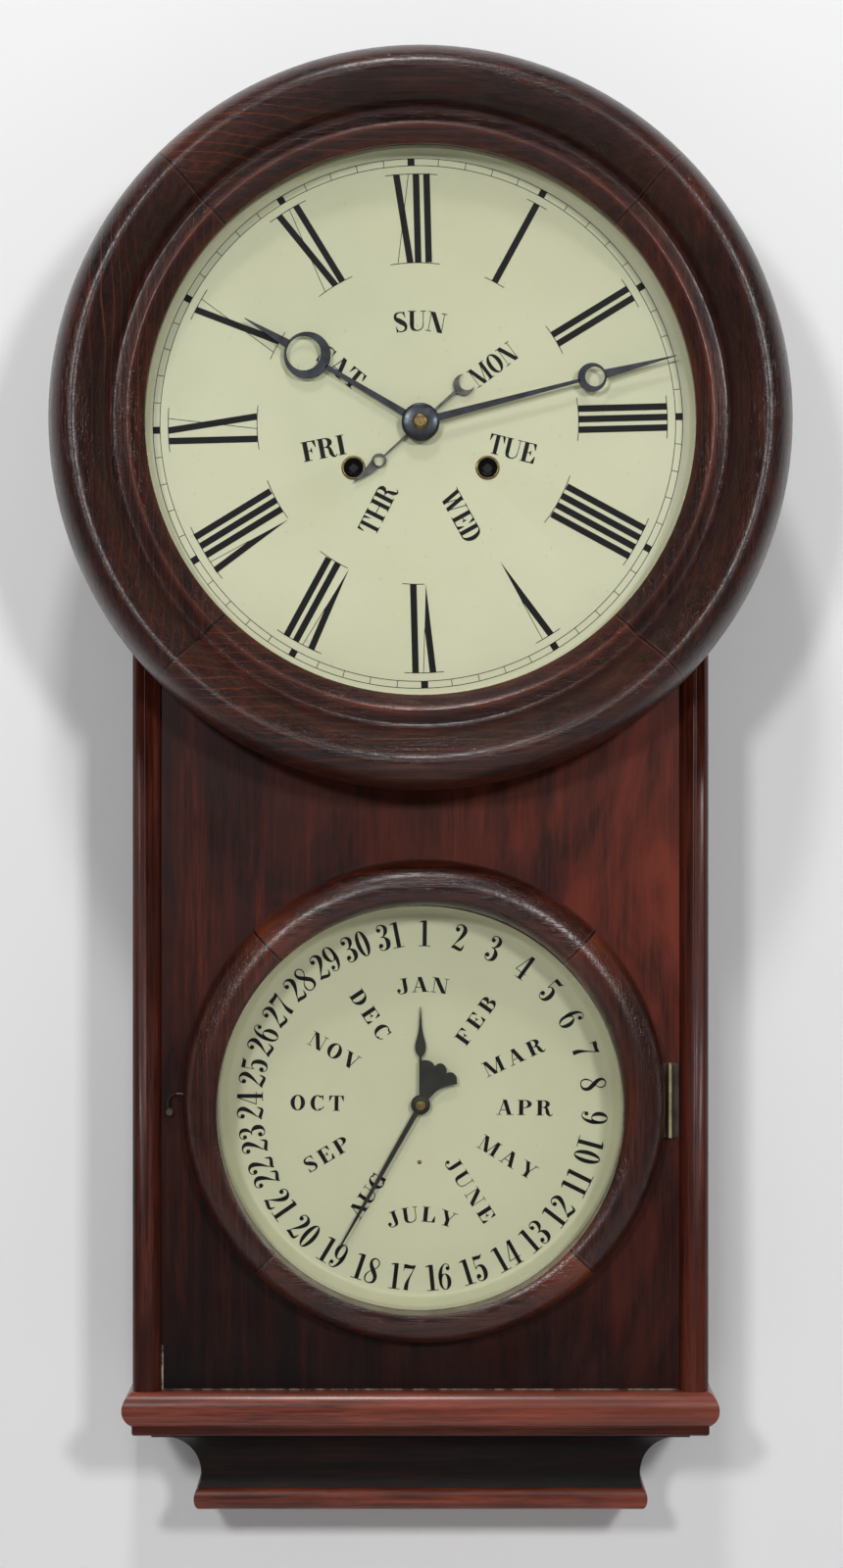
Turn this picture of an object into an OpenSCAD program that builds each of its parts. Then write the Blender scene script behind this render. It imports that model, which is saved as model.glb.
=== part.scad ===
// Double-dial wall calendar clock with a round head, in millimetres.
// X runs to the right, Z up and Y into the wall. The origin is the hole that it hangs by.

/* [Case] */
// Width over the side boards
body_w = 320; // [300:1:340]
// Thickness of a side board
side_t = 16; // [13:0.5:19]
// Depth of the box, from the wall to the front of the side boards
box_depth = 80; // [78:1:100]
// Top of the box above the centre of the time dial
box_above = 118; // [110:1:122]
// Thickness of the backboard
back_t = 12; // [8:0.5:15]
// Thickness of the front panel
panel_t = 8; // [6:0.5:9]
// Thickness of the top board
top_t = 12; // [9:0.5:16]
// How far the rounded stile beads stand in front of the panel
bead_h = 7; // [4:0.5:9]
// Distance between the centres of the two dials
dial_drop = 380; // [365:1:400]
// Calendar dial's centre down to the base moulding
panel_below = 157; // [150:1:170]

/* [Head] */
// Radius of the glazed opening in the head door
head_open_r = 151.2; // [149:0.2:153]
// Width of the sloping band from the opening to the sharp ridge
lip_w = 9; // [7.8:0.1:10.4]
// Width from the sharp ridge to the hollow
hollow_w = 10.8; // [9.4:0.1:12.4]
// Width of the big roll's inner side, from the hollow to its crest
roll_in_w = 13.5; // [12:0.1:15.5]
// Width of the big roll's outer side, from its crest to the edge
roll_out_w = 19.1; // [16.5:0.1:22]
// How far the head door's ring stands out past the surround
surround_over = 4.6; // [4:0.1:5.4]
// Thickness of the surround
surround_t = 18; // [15:0.5:24]
// Thickness of the ring at the crest of the roll
roll_h = 35.6; // [28:0.4:42]
// Height of the ridge above the back of the ring
ridge_h = 11.6; // [10:0.2:14]
// Height of the hollow above the back of the ring
hollow_h = 8.6; // [7.6:0.2:9.6]
// Height of the inner edge above the back of the ring
lip_h = 6.2; // [5.8:0.1:8]
// Height of the straight outer edge of the ring
edge_h = 6.1; // [5:0.1:9]

/* [Calendar ring] */
// Gap between the calendar door's ring and the stiles
cal_side_gap = 10; // [9:0.5:13]
// Width of the ring
cal_ring_w = 21.7; // [20:0.1:25]
// How far right the ring's own centre lies from the opening's
cal_off_x = 2.1; // [0:0.1:3]
// How far above the opening's centre the ring's own centre lies
cal_off_up = 4.2; // [0:0.1:5]
// Thickness of the ring
cal_h = 20; // [16:0.5:24]
// Width of the ring's rounded outer part
cal_round_w = 12; // [9:0.5:13]
// Width of the ring's rounded inner part
cal_inner_w = 8; // [6:0.5:9]
// Height of the ring at its glazed opening
cal_lip_h = 7; // [6:0.2:9]
// Height of the ring's straight outer edge
cal_edge_h = 3.6; // [3:0.2:5]

/* [Base] */
// Overhang of the half-round base moulding
base_over = 5.2; // [3:0.1:7]
// Height of the half-round base moulding
base_h = 19; // [16:0.5:22]
// Height of the fillet strip
fillet_h = 5.3; // [4:0.1:8]
// How far the cove's top stands back from the fillet's face
cove_in = 10; // [8:0.5:13]
// Radius of the cove
cove_r = 26; // [24:0.2:29]
// Height of the cove
cove_h = 36.5; // [34:0.5:40]
// Height of the square step above the cove's hollow
cove_step = 2.6; // [1:0.2:5]
// Overhang of the foot moulding past the bottom of the cove
foot_over = 2.8; // [1:0.1:4]
// Height of the foot moulding
foot_h = 12.1; // [10:0.1:15]
// Roundness of the foot moulding's front
foot_round = 3.2; // [2:0.1:5]

/* [Glazing] */
// Thickness of both glasses
glass_t = 2; // [1.5:0.1:2.5]
// Depth of the rebate that holds glass and bead
rebate_h = 4; // [3.6:0.2:5]
// How far the rebate is wider than the opening
rebate_w = 4.8; // [4:0.2:5.6]
// Gap between a closed door and what it shuts against
door_gap = 0.4; // [0.3:0.05:0.8]

/* [Dials] */
// Thickness of the dial sheets
sheet_t = 1; // [0.8:0.1:1.5]
// How far the time dial's rim stands forward
dial_rise = 3; // [2:0.5:5]
// Height of the ledge that the time dial is screwed to
ledge_h = 6; // [4.5:0.5:8]
// Width of the time dial's flange outside the glazed opening
flange_w = 11.8; // [10:0.2:13]
// Width of the calendar dial's flange outside its glazed opening
cal_flange_w = 11.7; // [9:0.1:14]
// Depth of the calendar dial's dish
cal_dish = 10; // [8:0.5:12]
// Winding holes: distance from the centreline
wind_x = 37.2; // [36:0.2:39]
// Winding holes: distance below the dial's centre
wind_down = 24.7; // [23:0.1:26]
// Radius of a brass grommet
grommet_r = 6.7; // [6:0.1:8]
// Radius of the hole in a grommet
grommet_hole_r = 5.3; // [4.6:0.1:5.6]

/* [Hands] */
// Length of the minute hand from the centre
minute_len = 146; // [140:1:149]
// Distance of the minute hand's moon
minute_moon = 97.9; // [90:0.5:105]
// Length of the hour hand
hour_len = 113; // [105:1:118]
// Distance of the hour hand's moon
hour_moon = 72.8; // [68:0.2:78]
// Length of the day hand's pointer
day_len = 50.3; // [46:0.1:54]
// Distance of the day hand's crescent
day_tail = 34.6; // [31:0.1:38]
// Length of the date hand
date_len = 91; // [85:0.5:96]
// Length of the month hand
month_len = 55; // [50:0.5:60]
// Thickness of every hand
hand_t = 1; // [0.8:0.1:1.2]

/* [Movement] */
// Space between the movement plates
plate_gap = 28; // [28:0.5:31]
// Thickness of a plate
plate_t = 2; // [1.5:0.1:2.4]
// Half the width of a plate
plate_half_w = 64; // [62:1:68]
// Height of the plates above the centre
plate_up = 64; // [62:1:68]
// Height of the plates below the centre
plate_down = 68; // [66:1:72]
// Thickness of the wooden battens behind the movement
batten_t = 20; // [19:0.5:23]
// Module of the great wheels
great_m = 0.9; // [0.86:0.01:0.92]
// Module of the second wheel in the time train
second_m = 0.7; // [0.68:0.01:0.72]
// Module of the centre wheel
centre_m = 0.6; // [0.58:0.01:0.62]
// Module of the other train wheels
fine_m = 0.5; // [0.48:0.01:0.52]
// Radius of a spring barrel
barrel_r = 19.5; // [17:0.5:20]
// Radius of a pivot
pivot_r = 0.8; // [0.6:0.05:0.9]
// Radius of a train arbor
arbor_r = 1.1; // [1:0.05:1.2]
// Running clearance on the radius
run = 0.05; // [0.02:0.01:0.08]
// Height of the verge arbor above the centre
verge_up = 51.5; // [51:0.1:52.5]
// Radius of the escape wheel
escape_r = 13; // [12:0.1:13.2]
// Length of the pendulum to the middle of the bob
pend_len = 352; // [340:1:360]
// Radius of the bob
bob_r = 32; // [26:1:36]
// Thickness of the bob
bob_t = 12; // [8:0.5:14]
// Radius of the gong
gong_r = 34; // [31:0.5:36]

/* [Calendar work] */
// Depth of the space between the calendar dial and its plate
cal_gap = 19; // [19:0.5:22]
// Radius of the calendar plate
cal_plate_r = 58; // [56:0.5:62]
// Radius of the date wheel
date_r = 40; // [37:0.5:41]
// Radius of the month wheel
month_r = 22; // [19:0.5:25]
// Radius of the day wheel
day_r = 10; // [9:0.1:10]

/* [Hanging] */
// Height of the hanging hole above the time dial's centre
hang_up = 84; // [82:0.5:86]
// Radius of the hanging hole
hang_r = 5; // [4:0.1:6]
// Thickness of the hanging plate
hang_t = 2; // [1.5:0.1:2.5]

/* [Hidden] */

// Planes, as distances in front of the wall
side_in = body_w / 2 - side_t;
panel_f = box_depth;
panel_back_f = box_depth - panel_t;
surround_f = box_depth + surround_t;
head_f = surround_f + door_gap;
cal_ring_f = panel_f + door_gap;
ledge_f = box_depth + ledge_h;
dial_f = ledge_f + sheet_t - dial_rise;
cal_dial_f = panel_back_f - cal_dish;
base_up = -dial_drop - panel_below;
fillet_up = base_up - base_h;
cove_up = fillet_up - fillet_h;
foot_up = cove_up - cove_h;
plate_f = back_t + batten_t;
in_f = plate_f + plate_t;
front_in_f = in_f + plate_gap;
front_f = front_in_f + plate_t;

// Radii of the head door's ring, the surround, both dials and the calendar ring
ridge_r = head_open_r + lip_w;
hollow_r = ridge_r + hollow_w;
roll_r = hollow_r + roll_in_w;
head_r = roll_r + roll_out_w;
surround_r = head_r - surround_over;
surround_hole_r = head_open_r + 1.8;
dial_r = head_open_r + flange_w;
dial_flat_r = head_open_r - 3.7;
cal_r = side_in - cal_side_gap;
cal_open_r = cal_r - cal_ring_w;
panel_open_r = cal_open_r + 3.7;
cal_dial_r = cal_open_r + cal_flange_w;
cal_flat_r = cal_open_r - 5.3;

// Clearances, small parts and fits
slack = 0.2;
pin_r = 0.9;
screw_r = 1.5;
screw_head_r = 2.8;
head_h = 1.4;

// Tooth counts of both trains and of the motion work
z_great = 72;
z_leaf = 8;
z_second = 54;
z_centre_pinion = 18;
z_centre = 72;
z_third = 64;
z_escape = 42;
z_strike_second = 64;
z_pin = 56;
z_warning_pinion = 7;
z_warning = 48;
z_fly_pinion = 6;
z_cannon = 12;
z_minute = 36;
z_minute_pinion = 10;
z_hour = 40;
z_hour_pinion = 20;
z_trip = 40;
z_date = 31;
z_month = 12;
z_day = 7;

// Where two circles about p and q meet, on the side that s picks
function meet(p, q, rp, rq, s) = let (v = q - p, d = norm(v), u = v / d,
    a = (rp * rp - rq * rq + d * d) / (2 * d), h = sqrt(rp * rp - a * a))
    p + a * u + s * h * [-u[1], u[0]];
function polar(r, a) = [r * cos(a), r * sin(a)];
function aim(p, q) = atan2(q[1] - p[1], q[0] - p[0]);
function arc(c, rx, ry, a0, a1, n) = [for (i = [0:n]) let (a = a0 + (a1 - a0) * i / n)
    [c[0] + rx * cos(a), c[1] + ry * sin(a)]];

// Places of the hinges, hooks, screws and pillars
seat_x = surround_r - 1.5;
head_axis_x = seat_x + 3.3;
head_axis_f = surround_f - 8;
head_knuckle_r = 1.8;
head_leaf_len = 42;
cal_axis_x = side_in - 5.6;
cal_axis_f = panel_f + 4;
cal_knuckle_r = 1.6;
cal_leaf_len = 41.2;
head_pivot_up = 8;
head_pivot_f = box_depth + 4;
head_catch_f = head_pivot_f + 10;
cal_hook_at = [-side_in + 4.8, -dial_drop - 2];
cal_catch_up = cal_hook_at[1] + 9.8;
dial_screw_angles = [for (i = [0:7]) 22.5 + 45 * i];
cal_screw_angles = [45, 135, 225, 315];
batten_x = 27;
batten_w = 14;
batten_screws = [for (x = [-batten_x, batten_x], u = [plate_up - 6, 6 - plate_down]) [x, u]];
pillars = [for (x = [5 - plate_half_w, plate_half_w - 5], u = [plate_up - 5, 5 - plate_down]) [x, u]];

// Arbor places, seen from the front, with the time dial's centre at nought
time_at = [wind_x, -wind_down];
strike_at = [-wind_x, -wind_down];
d_great = great_m * (z_great + z_leaf) / 2;
d_second = second_m * (z_second + z_centre_pinion) / 2;
d_third = centre_m * (z_centre + z_leaf) / 2;
d_escape = fine_m * (z_third + z_leaf) / 2;
second_at = meet([0, 0], time_at, d_second, d_great, 1);
escape_at = [0, verge_up - 17.5];
third_at = meet([0, 0], escape_at, d_third, d_escape, 1);
strike_second_at = strike_at + polar(d_great, 95);
pin_at = strike_second_at + polar(centre_m * (z_strike_second + z_leaf) / 2, 75);
warning_at = pin_at + polar(fine_m * (z_pin + z_warning_pinion) / 2, 20);
fly_at = warning_at + polar(fine_m * (z_warning + z_fly_pinion) / 2, 90);
hammer_at = [-plate_half_w + 6, 34];
verge_at = [0, verge_up];
cannon_m = 0.625;
hour_m = 0.6;
minute_at = [0, -cannon_m * (z_cannon + z_minute) / 2];
trip_at = polar(hour_m * (z_hour_pinion + z_trip) / 2, 20);
cal_at = [0, -dial_drop];
ring_at = cal_at + [cal_off_x, cal_off_up];
gong_at = [hammer_at[0] - gong_r - 7, -70];

// Levels inside the movement, measured from the inner face of the back plate
great_lv = 2;
great_t = 2.2;
escape_lv = 6;
centre_lv = 10;
third_lv = 16;
warning_lv = 20;
second_lv = 24;
wheel_t = 1.6;
escape_t = 1.2;
barrel_top = 22;

// Pipes of the hands, from the inside out
centre_r = 1.5;
cannon_r = 2.2;
hour_pipe_r = 3.2;
day_pipe_r = 4.2;
dial_hole_r = day_pipe_r + 1.2;
day_hand_f = dial_f + 2;
hour_hand_f = day_hand_f + hand_t + 1.6;
minute_hand_f = hour_hand_f + hand_t + 1.6;
cannon_lv = 2;
hour_lv = 5.5;
hour_pinion_lv = 8.5;
trip_lv = 8.8;
day_lv = 13;

// Calendar work, in front of the wall
cal_plate_f = cal_dial_f - sheet_t - cal_gap - plate_t;
date_f = cal_plate_f + plate_t + 4;
month_f = cal_plate_f + plate_t + 12;
date_arbor_r = 1.8;
month_pipe_r = 2.8;
month_hand_f = cal_dial_f + 2;
date_hand_f = month_hand_f + hand_t + 1.2;
rod_x = date_r + 4;
rod_f = front_f + 4;
rod_low_f = date_f + wheel_t / 2;
rod_r = 1.2;

// Places everything: what is drawn seen from the front stands up with its back to the wall
module stand() { rotate([90, 0, 0]) translate([0, -hang_up, 0]) children(); }
module at(p, f) { translate([p[0], p[1], f]) children(); }
module disc(p, f, r, h, fn = 64) { at(p, f) cylinder(r = r, h = h, $fn = fn); }
module board(x0, x1, u0, u1, f0, f1) { translate([x0, u0, f0]) cube([x1 - x0, u1 - u0, f1 - f0]); }

// Toothed outlines: a tooth is a tapered block from the root circle to the tip circle
function teeth(z, m, low, high, wide, narrow) = [for (i = [0:z - 1])
    for (c = [[-low, -wide], [high, -narrow], [high, narrow], [-low, wide]])
    let (r = m * z / 2 + c[0] * m) polar(r, 360 * i / z + c[1] * m / r * 180 / PI)];
module wheel_outline(z, m, train = true) {
    polygon(train ? teeth(z, m, 1.3, 0.76, 0.9, 0.4) : teeth(z, m, 1.15, 0.8, 0.9, 0.36));
}

// A crossed-out brass wheel with its teeth turned to the angle ph
module wheel(z, m, t, hub_r, ph, arms = 5, train = true) {
    rim_r = m * z / 2 - 1.3 * m - 2.4;
    difference() {
        rotate(ph) linear_extrude(t) wheel_outline(z, m, train);
        if (arms > 0) for (i = [0:arms - 1]) rotate(360 * i / arms) translate([0, 0, -1])
            linear_extrude(t + 2) crossing(hub_r, rim_r, 180 / arms);
    }
}

// The opening between two arms of a wheel
module crossing(r0, r1, half) {
    arm_w = 1.3;
    a0 = half - asin(arm_w / r0);
    a1 = half - asin(arm_w / r1);
    polygon(concat(arc([0, 0], r0, r0, -a0, a0, 4), arc([0, 0], r1, r1, a1, -a1, 8)));
}

// A lantern pinion: two shrouds with wire trundles between them, centred on a wheel t thick
module lantern(z, m, t, ph) {
    shroud_t = 0.8;
    side = 0.5;
    r = m * z / 2 + 0.6 * m + 0.4;
    for (f = [-side - shroud_t, t + side]) translate([0, 0, f]) cylinder(r = r, h = shroud_t, $fn = 32);
    for (i = [0:z - 1]) rotate(ph + 360 * i / z) translate([m * z / 2, 0, -side])
        cylinder(r = 0.58 * m, h = t + 2 * side, $fn = 16);
}

// A steel arbor between the plates with a pivot at each end
module arbor(p) {
    end_shake = 0.3;
    disc(p, in_f + end_shake, arbor_r, plate_gap - 2 * end_shake, 32);
    disc(p, plate_f, pivot_r, 2 * plate_t + plate_gap, 32);
}

// The angle of a pinion that leaves a gap facing the wheel's tooth on the line of centres
function gap_at(z, p, q) = aim(q, p) + 180 / z;

// A ratchet outline with z sharp teeth
module ratchet(z, r, depth) {
    polygon([for (i = [0:z - 1]) for (c = [[r, 0], [r - depth, 0.15]])
        polar(c[0], 360 * (i + c[1]) / z)]);
}

// Case joinery

module backboard() color([0.33, 0.2, 0.13]) stand() difference() {
    board(-side_in, side_in, base_up, box_above - top_t, 0, back_t);
    at([0, hang_up], -1) cylinder(r = 14, h = back_t + 2, $fn = 64);
    board(-26, 26, hang_up - 18.2, hang_up + 18.2, -1, hang_t);
    for (s = [-1, 1]) disc([s * 20, hang_up], 0, screw_r + run, 9, 24);
    for (p = batten_screws) disc(p, back_t - 8, screw_r + run, 9, 24);
    disc(gong_at, back_t - 8, screw_r + run, 9, 24);
}

module side_boards() color([0.38, 0.16, 0.1]) stand() for (s = [-1, 1])
    board(min(s * side_in, s * body_w / 2), max(s * side_in, s * body_w / 2),
        base_up, box_above, 0, box_depth);

module stile_beads() color([0.42, 0.17, 0.1]) stand() difference() {
    for (s = [-1, 1]) translate([s * (side_in + side_t / 2), base_up, box_depth]) rotate([-90, 0, 0])
        linear_extrude(-base_up - 100) polygon(arc([0, 0], side_t / 2, bead_h, 180, 360, 14));
    disc([0, 0], box_depth - 1, surround_r + slack, bead_h + 2, 180);
}

module top_board() color([0.33, 0.2, 0.13]) stand()
    board(-side_in, side_in, box_above - top_t, box_above, 0, box_depth);

module front_panel() color([0.36, 0.13, 0.08]) stand() difference() {
    board(-side_in, side_in, base_up, -100, panel_back_f, panel_f);
    disc([0, 0], panel_back_f - 1, surround_hole_r, panel_t + 2, 180);
    disc(cal_at, panel_back_f - 1, panel_open_r, panel_t + 2, 180);
    cal_hinge_seat(0.1);
    disc(cal_hook_at, panel_back_f - 1, screw_r + run, panel_t + 2, 24);
    for (a = cal_screw_angles) disc(cal_at + polar(cal_dial_r - 3, a), panel_back_f - 1,
        screw_r + run, 6, 24);
}

// The fixed ring that carries the head door: a ledge for the dial, flat seats for hinge and hook
module dial_surround() color([0.3, 0.14, 0.09]) stand() difference() {
    at([0, 0], box_depth) rotate_extrude($fn = 180) polygon([[surround_hole_r, 0],
        [surround_r, 0], [surround_r, surround_t], [dial_r + 2, surround_t],
        [dial_r + 2, ledge_h], [surround_hole_r, ledge_h]]);
    for (s = [-1, 1]) board(min(s * seat_x, s * (surround_r + 2)), max(s * seat_x,
        s * (surround_r + 2)), -24, 24, box_depth - 1, surround_f + 1);
    at([-seat_x - 1, head_pivot_up], head_pivot_f) rotate([0, 90, 0])
        cylinder(r = screw_r + run, h = 12, $fn = 24);
    for (a = dial_screw_angles) disc(polar(dial_r - 3.5, a), ledge_f - 5, screw_r + run, 8, 24);
}

// A board whose edge runs round the front and both ends with mitred corners.
// The edge is a list of overhangs and heights, from the top down.
module mitred(half_w, front, up, edge) {
    top = edge[0];
    low = edge[len(edge) - 1];
    intersection() {
        linear_extrude(front + 30) polygon(concat(
            [for (e = edge) [half_w + e[0], up + e[1]]],
            [for (i = [len(edge) - 1:-1:0]) [-half_w - edge[i][0], up + edge[i][1]]]));
        translate([-half_w - 30, 0, 0]) rotate([90, 0, 90]) linear_extrude(2 * half_w + 60)
            polygon(concat([[up + top[1], 0], [up + low[1], 0]],
                [for (i = [len(edge) - 1:-1:0]) [up + edge[i][1], front + edge[i][0]]]));
    }
}

bead_f = box_depth + bead_h;
base_edge_r = (base_h * base_h / 4 + base_over * base_over) / (2 * base_over);
base_edge_a = asin(base_h / 2 / base_edge_r);
cove_low = asin((cove_h - cove_step - cove_r) / cove_r);
foot_in = cove_in + cove_r * cos(cove_low);

module base_moulding() color([0.45, 0.2, 0.12]) stand() mitred(body_w / 2, bead_f, base_up,
    arc([base_over - base_edge_r, -base_h / 2], base_edge_r, base_edge_r, base_edge_a,
        -base_edge_a, 14));

module base_fillet() color([0.42, 0.18, 0.11]) stand() mitred(body_w / 2, bead_f, fillet_up,
    [[0, 0], [0, -fillet_h + 1], [-1, -fillet_h]]);

module base_cove() color([0.3, 0.13, 0.09]) stand() mitred(body_w / 2 - cove_in, bead_f - cove_in,
    cove_up, concat([[0, 0]], [for (i = [0:16]) let (a = 90 - (90 + cove_low) * i / 16)
    [-cove_r * cos(a), -cove_step - cove_r + cove_r * sin(a)]]));

module base_foot() color([0.42, 0.18, 0.11]) stand() mitred(
    body_w / 2 - foot_in, bead_f - foot_in, foot_up,
    arc([foot_over - foot_round, -foot_h / 2], foot_round, foot_h / 2, 90, -90, 14));

// Hanging plate, screws and pillar nuts

module hanger_plate() color([0.6, 0.6, 0.58]) stand() difference() {
    board(-26 + slack, 26 - slack, hang_up - 18, hang_up + 18, 0, hang_t);
    disc([0, hang_up], -1, hang_r, hang_t + 2, 64);
    for (s = [-1, 1]) at([s * 20, hang_up], 0) {
        cylinder(r1 = screw_head_r + run, r2 = screw_r + run, h = hang_t - 0.7, $fn = 32);
        cylinder(r = screw_r + run, h = hang_t + 1, $fn = 32);
    }
}

module front_screw(p, f, h) {
    disc(p, f, screw_head_r, head_h, 32);
    disc(p, f - h, screw_r, h, 24);
}

module fasteners() color([0.62, 0.55, 0.35]) stand() {
    for (s = [-1, 1]) at([s * 20, hang_up], 0) {
        cylinder(r1 = screw_head_r, r2 = screw_r, h = hang_t - 0.7, $fn = 32);
        cylinder(r = screw_r, h = 7.5, $fn = 24);
    }
    for (a = dial_screw_angles) front_screw(polar(dial_r - 3.5, a), ledge_f + sheet_t, 5.5);
    for (p = batten_screws) front_screw(p, in_f, in_f - back_t + 7);
    for (a = cal_screw_angles) at(cal_at + polar(cal_dial_r - 3, a), 0) {
        translate([0, 0, panel_back_f - sheet_t - head_h]) cylinder(r = 2.5, h = head_h, $fn = 32);
        translate([0, 0, panel_back_f - sheet_t]) cylinder(r = screw_r, h = sheet_t + 4.6, $fn = 24);
    }
    for (p = pillars) at(p, front_f) difference() {
        cylinder(r = 4, h = 2.5, $fn = 6);
        translate([0, 0, -1]) cylinder(r = 2, h = 5, $fn = 32);
    }
}

// Hinges and hooks: a barrel of knuckles, those of the case carrying the pin

module knuckles(x, f, u, r, len, which, gap = 0.15) {
    for (i = which) translate([x, u - len / 2 + i * len / 5 + gap / 2, f]) rotate([-90, 0, 0])
        cylinder(r = r, h = len / 5 - gap, $fn = 48);
}
module hinge_pin(x, f, u, r, len) {
    translate([x, u - len / 2, f]) rotate([-90, 0, 0]) cylinder(r = r, h = len, $fn = 32);
}
module webs(x0, x1, u, len, which, f0, f1) {
    for (i = which) board(x0, x1, u - len / 2 + i * len / 5 + 0.075,
        u - len / 2 + (i + 1) * len / 5 - 0.075, f0, f1);
}
module cal_hinge_seat(d) {
    board(cal_axis_x - 0.7 - d, side_in + 1, ring_at[1] - cal_leaf_len / 2 - d,
        ring_at[1] + cal_leaf_len / 2 + d, panel_f - 1.4 - d, panel_f + 1);
}

module case_fittings() color([0.62, 0.5, 0.28]) stand() {
    board(seat_x, seat_x + 1.3, -head_leaf_len / 2, head_leaf_len / 2, head_axis_f - 9, head_axis_f + 1);
    webs(seat_x + 1.2, head_axis_x, 0, head_leaf_len, [0, 2, 4], head_axis_f - 1.3, head_axis_f + 1);
    knuckles(head_axis_x, head_axis_f, 0, head_knuckle_r, head_leaf_len, [0, 2, 4]);
    hinge_pin(head_axis_x, head_axis_f, 0, pin_r, head_leaf_len - 1);
    board(cal_axis_x - 0.7, side_in - 0.3, ring_at[1] - cal_leaf_len / 2,
        ring_at[1] + cal_leaf_len / 2, panel_f - 1.4, panel_f);
    webs(cal_axis_x - 0.7, cal_axis_x + 0.7, ring_at[1], cal_leaf_len, [0, 2, 4], panel_f - 1, cal_axis_f);
    knuckles(cal_axis_x, cal_axis_f, ring_at[1], cal_knuckle_r, cal_leaf_len, [0, 2, 4]);
    hinge_pin(cal_axis_x, cal_axis_f, ring_at[1], pin_r, cal_leaf_len - 1);
    translate([-seat_x + 9.5, head_pivot_up, head_pivot_f]) rotate([0, -90, 0]) {
        cylinder(r = screw_r, h = 13, $fn = 24);
        translate([0, 0, 9.5]) cylinder(r = 2.4, h = 1.5, $fn = 32);
        translate([0, 0, 12.7]) cylinder(r = 2.6, h = 1, $fn = 32);
    }
    at(cal_hook_at, 0) {
        translate([0, 0, panel_back_f + 1]) cylinder(r = screw_r, h = panel_t - 1, $fn = 24);
        translate([0, 0, panel_f]) cylinder(r = 2, h = 2.8, $fn = 32);
        translate([0, 0, panel_f]) cylinder(r = 1, h = 4.6, $fn = 32);
        translate([0, 0, panel_f + 4.2]) cylinder(r = 1.9, h = 0.8, $fn = 32);
    }
}

module head_door_fittings() color([0.62, 0.5, 0.28]) stand() {
    difference() {
        union() {
            board(head_axis_x - 0.8, head_axis_x + 0.6, -head_leaf_len / 2, head_leaf_len / 2,
                head_axis_f + 2.2, head_f + 1.5);
            board(head_axis_x - 14.8, head_axis_x + 0.6, -head_leaf_len / 2, head_leaf_len / 2,
                head_f, head_f + 1.5);
            webs(head_axis_x - 0.8, head_axis_x + 0.6, 0, head_leaf_len, [1, 3], head_axis_f,
                head_axis_f + 2.3);
            knuckles(head_axis_x, head_axis_f, 0, head_knuckle_r, head_leaf_len, [1, 3]);
        }
        hinge_pin(head_axis_x, head_axis_f, 0, pin_r + run, head_leaf_len + 2);
    }
    board(-seat_x - 5.5, -seat_x + 7.5, head_pivot_up - 4, head_pivot_up + 4, head_f, head_f + 1.2);
    board(-seat_x - 5.5, -seat_x - 4.3, head_pivot_up - 1.5, head_pivot_up + 1.5,
        head_catch_f - 1.2, head_f + 1);
    translate([-seat_x - 1.3, head_pivot_up, head_catch_f]) rotate([0, -90, 0])
        cylinder(r = 0.8, h = 3.6, $fn = 32);
}

module head_hook() color([0.5, 0.5, 0.5]) stand() translate([-seat_x - 1.7, head_pivot_up, head_pivot_f])
    rotate([0, -90, 0]) rotate(12) linear_extrude(1.3) difference() {
        union() {
            circle(r = 2.6, $fn = 48);
            polygon([[0, -1.8], [8.2, 0.2], [8.9, 1.05], [11.05, 1.05], [11.05, -0.9], [12.2, -0.9],
                [13.2, 0.6], [13.2, 2.6], [12, 3.4], [8, 3.4], [0, 2.4]]);
        }
        circle(r = screw_r + run, $fn = 32);
    }

module calendar_hook() color([0.6, 0.55, 0.45]) stand() at(cal_hook_at, panel_f + 3) linear_extrude(1)
    difference() {
        union() {
            circle(r = 2.1, $fn = 48);
            polygon(concat(arc([3.4, 4.6], 5.4, 6, 95, 235, 10), arc([3.4, 4.6], 3.9, 4.5, 235, 95, 10)));
        }
        circle(r = 1 + run, $fn = 32);
    }

module calendar_door_fittings() color([0.62, 0.5, 0.28]) stand() {
    difference() {
        union() {
            board(cal_axis_x - 16.2, cal_axis_x - 1.3, ring_at[1] - cal_leaf_len / 2,
                ring_at[1] + cal_leaf_len / 2, cal_ring_f, cal_ring_f + 1.2);
            webs(cal_axis_x - 1.4, cal_axis_x + 0.7, ring_at[1], cal_leaf_len, [1, 3], cal_ring_f,
                cal_ring_f + 1.2);
            webs(cal_axis_x - 0.7, cal_axis_x + 0.7, ring_at[1], cal_leaf_len, [1, 3], cal_ring_f,
                cal_axis_f);
            knuckles(cal_axis_x, cal_axis_f, ring_at[1], cal_knuckle_r, cal_leaf_len, [1, 3]);
        }
        hinge_pin(cal_axis_x, cal_axis_f, ring_at[1], pin_r + run, cal_leaf_len + 2);
    }
    translate([cal_hook_at[0] + 10, cal_catch_up, panel_f + 2]) rotate([0, -90, 0])
        cylinder(r = 0.7, h = 6.6, $fn = 24);
}

// Doors: profiles are pairs of radius and height above the back of the ring

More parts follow.
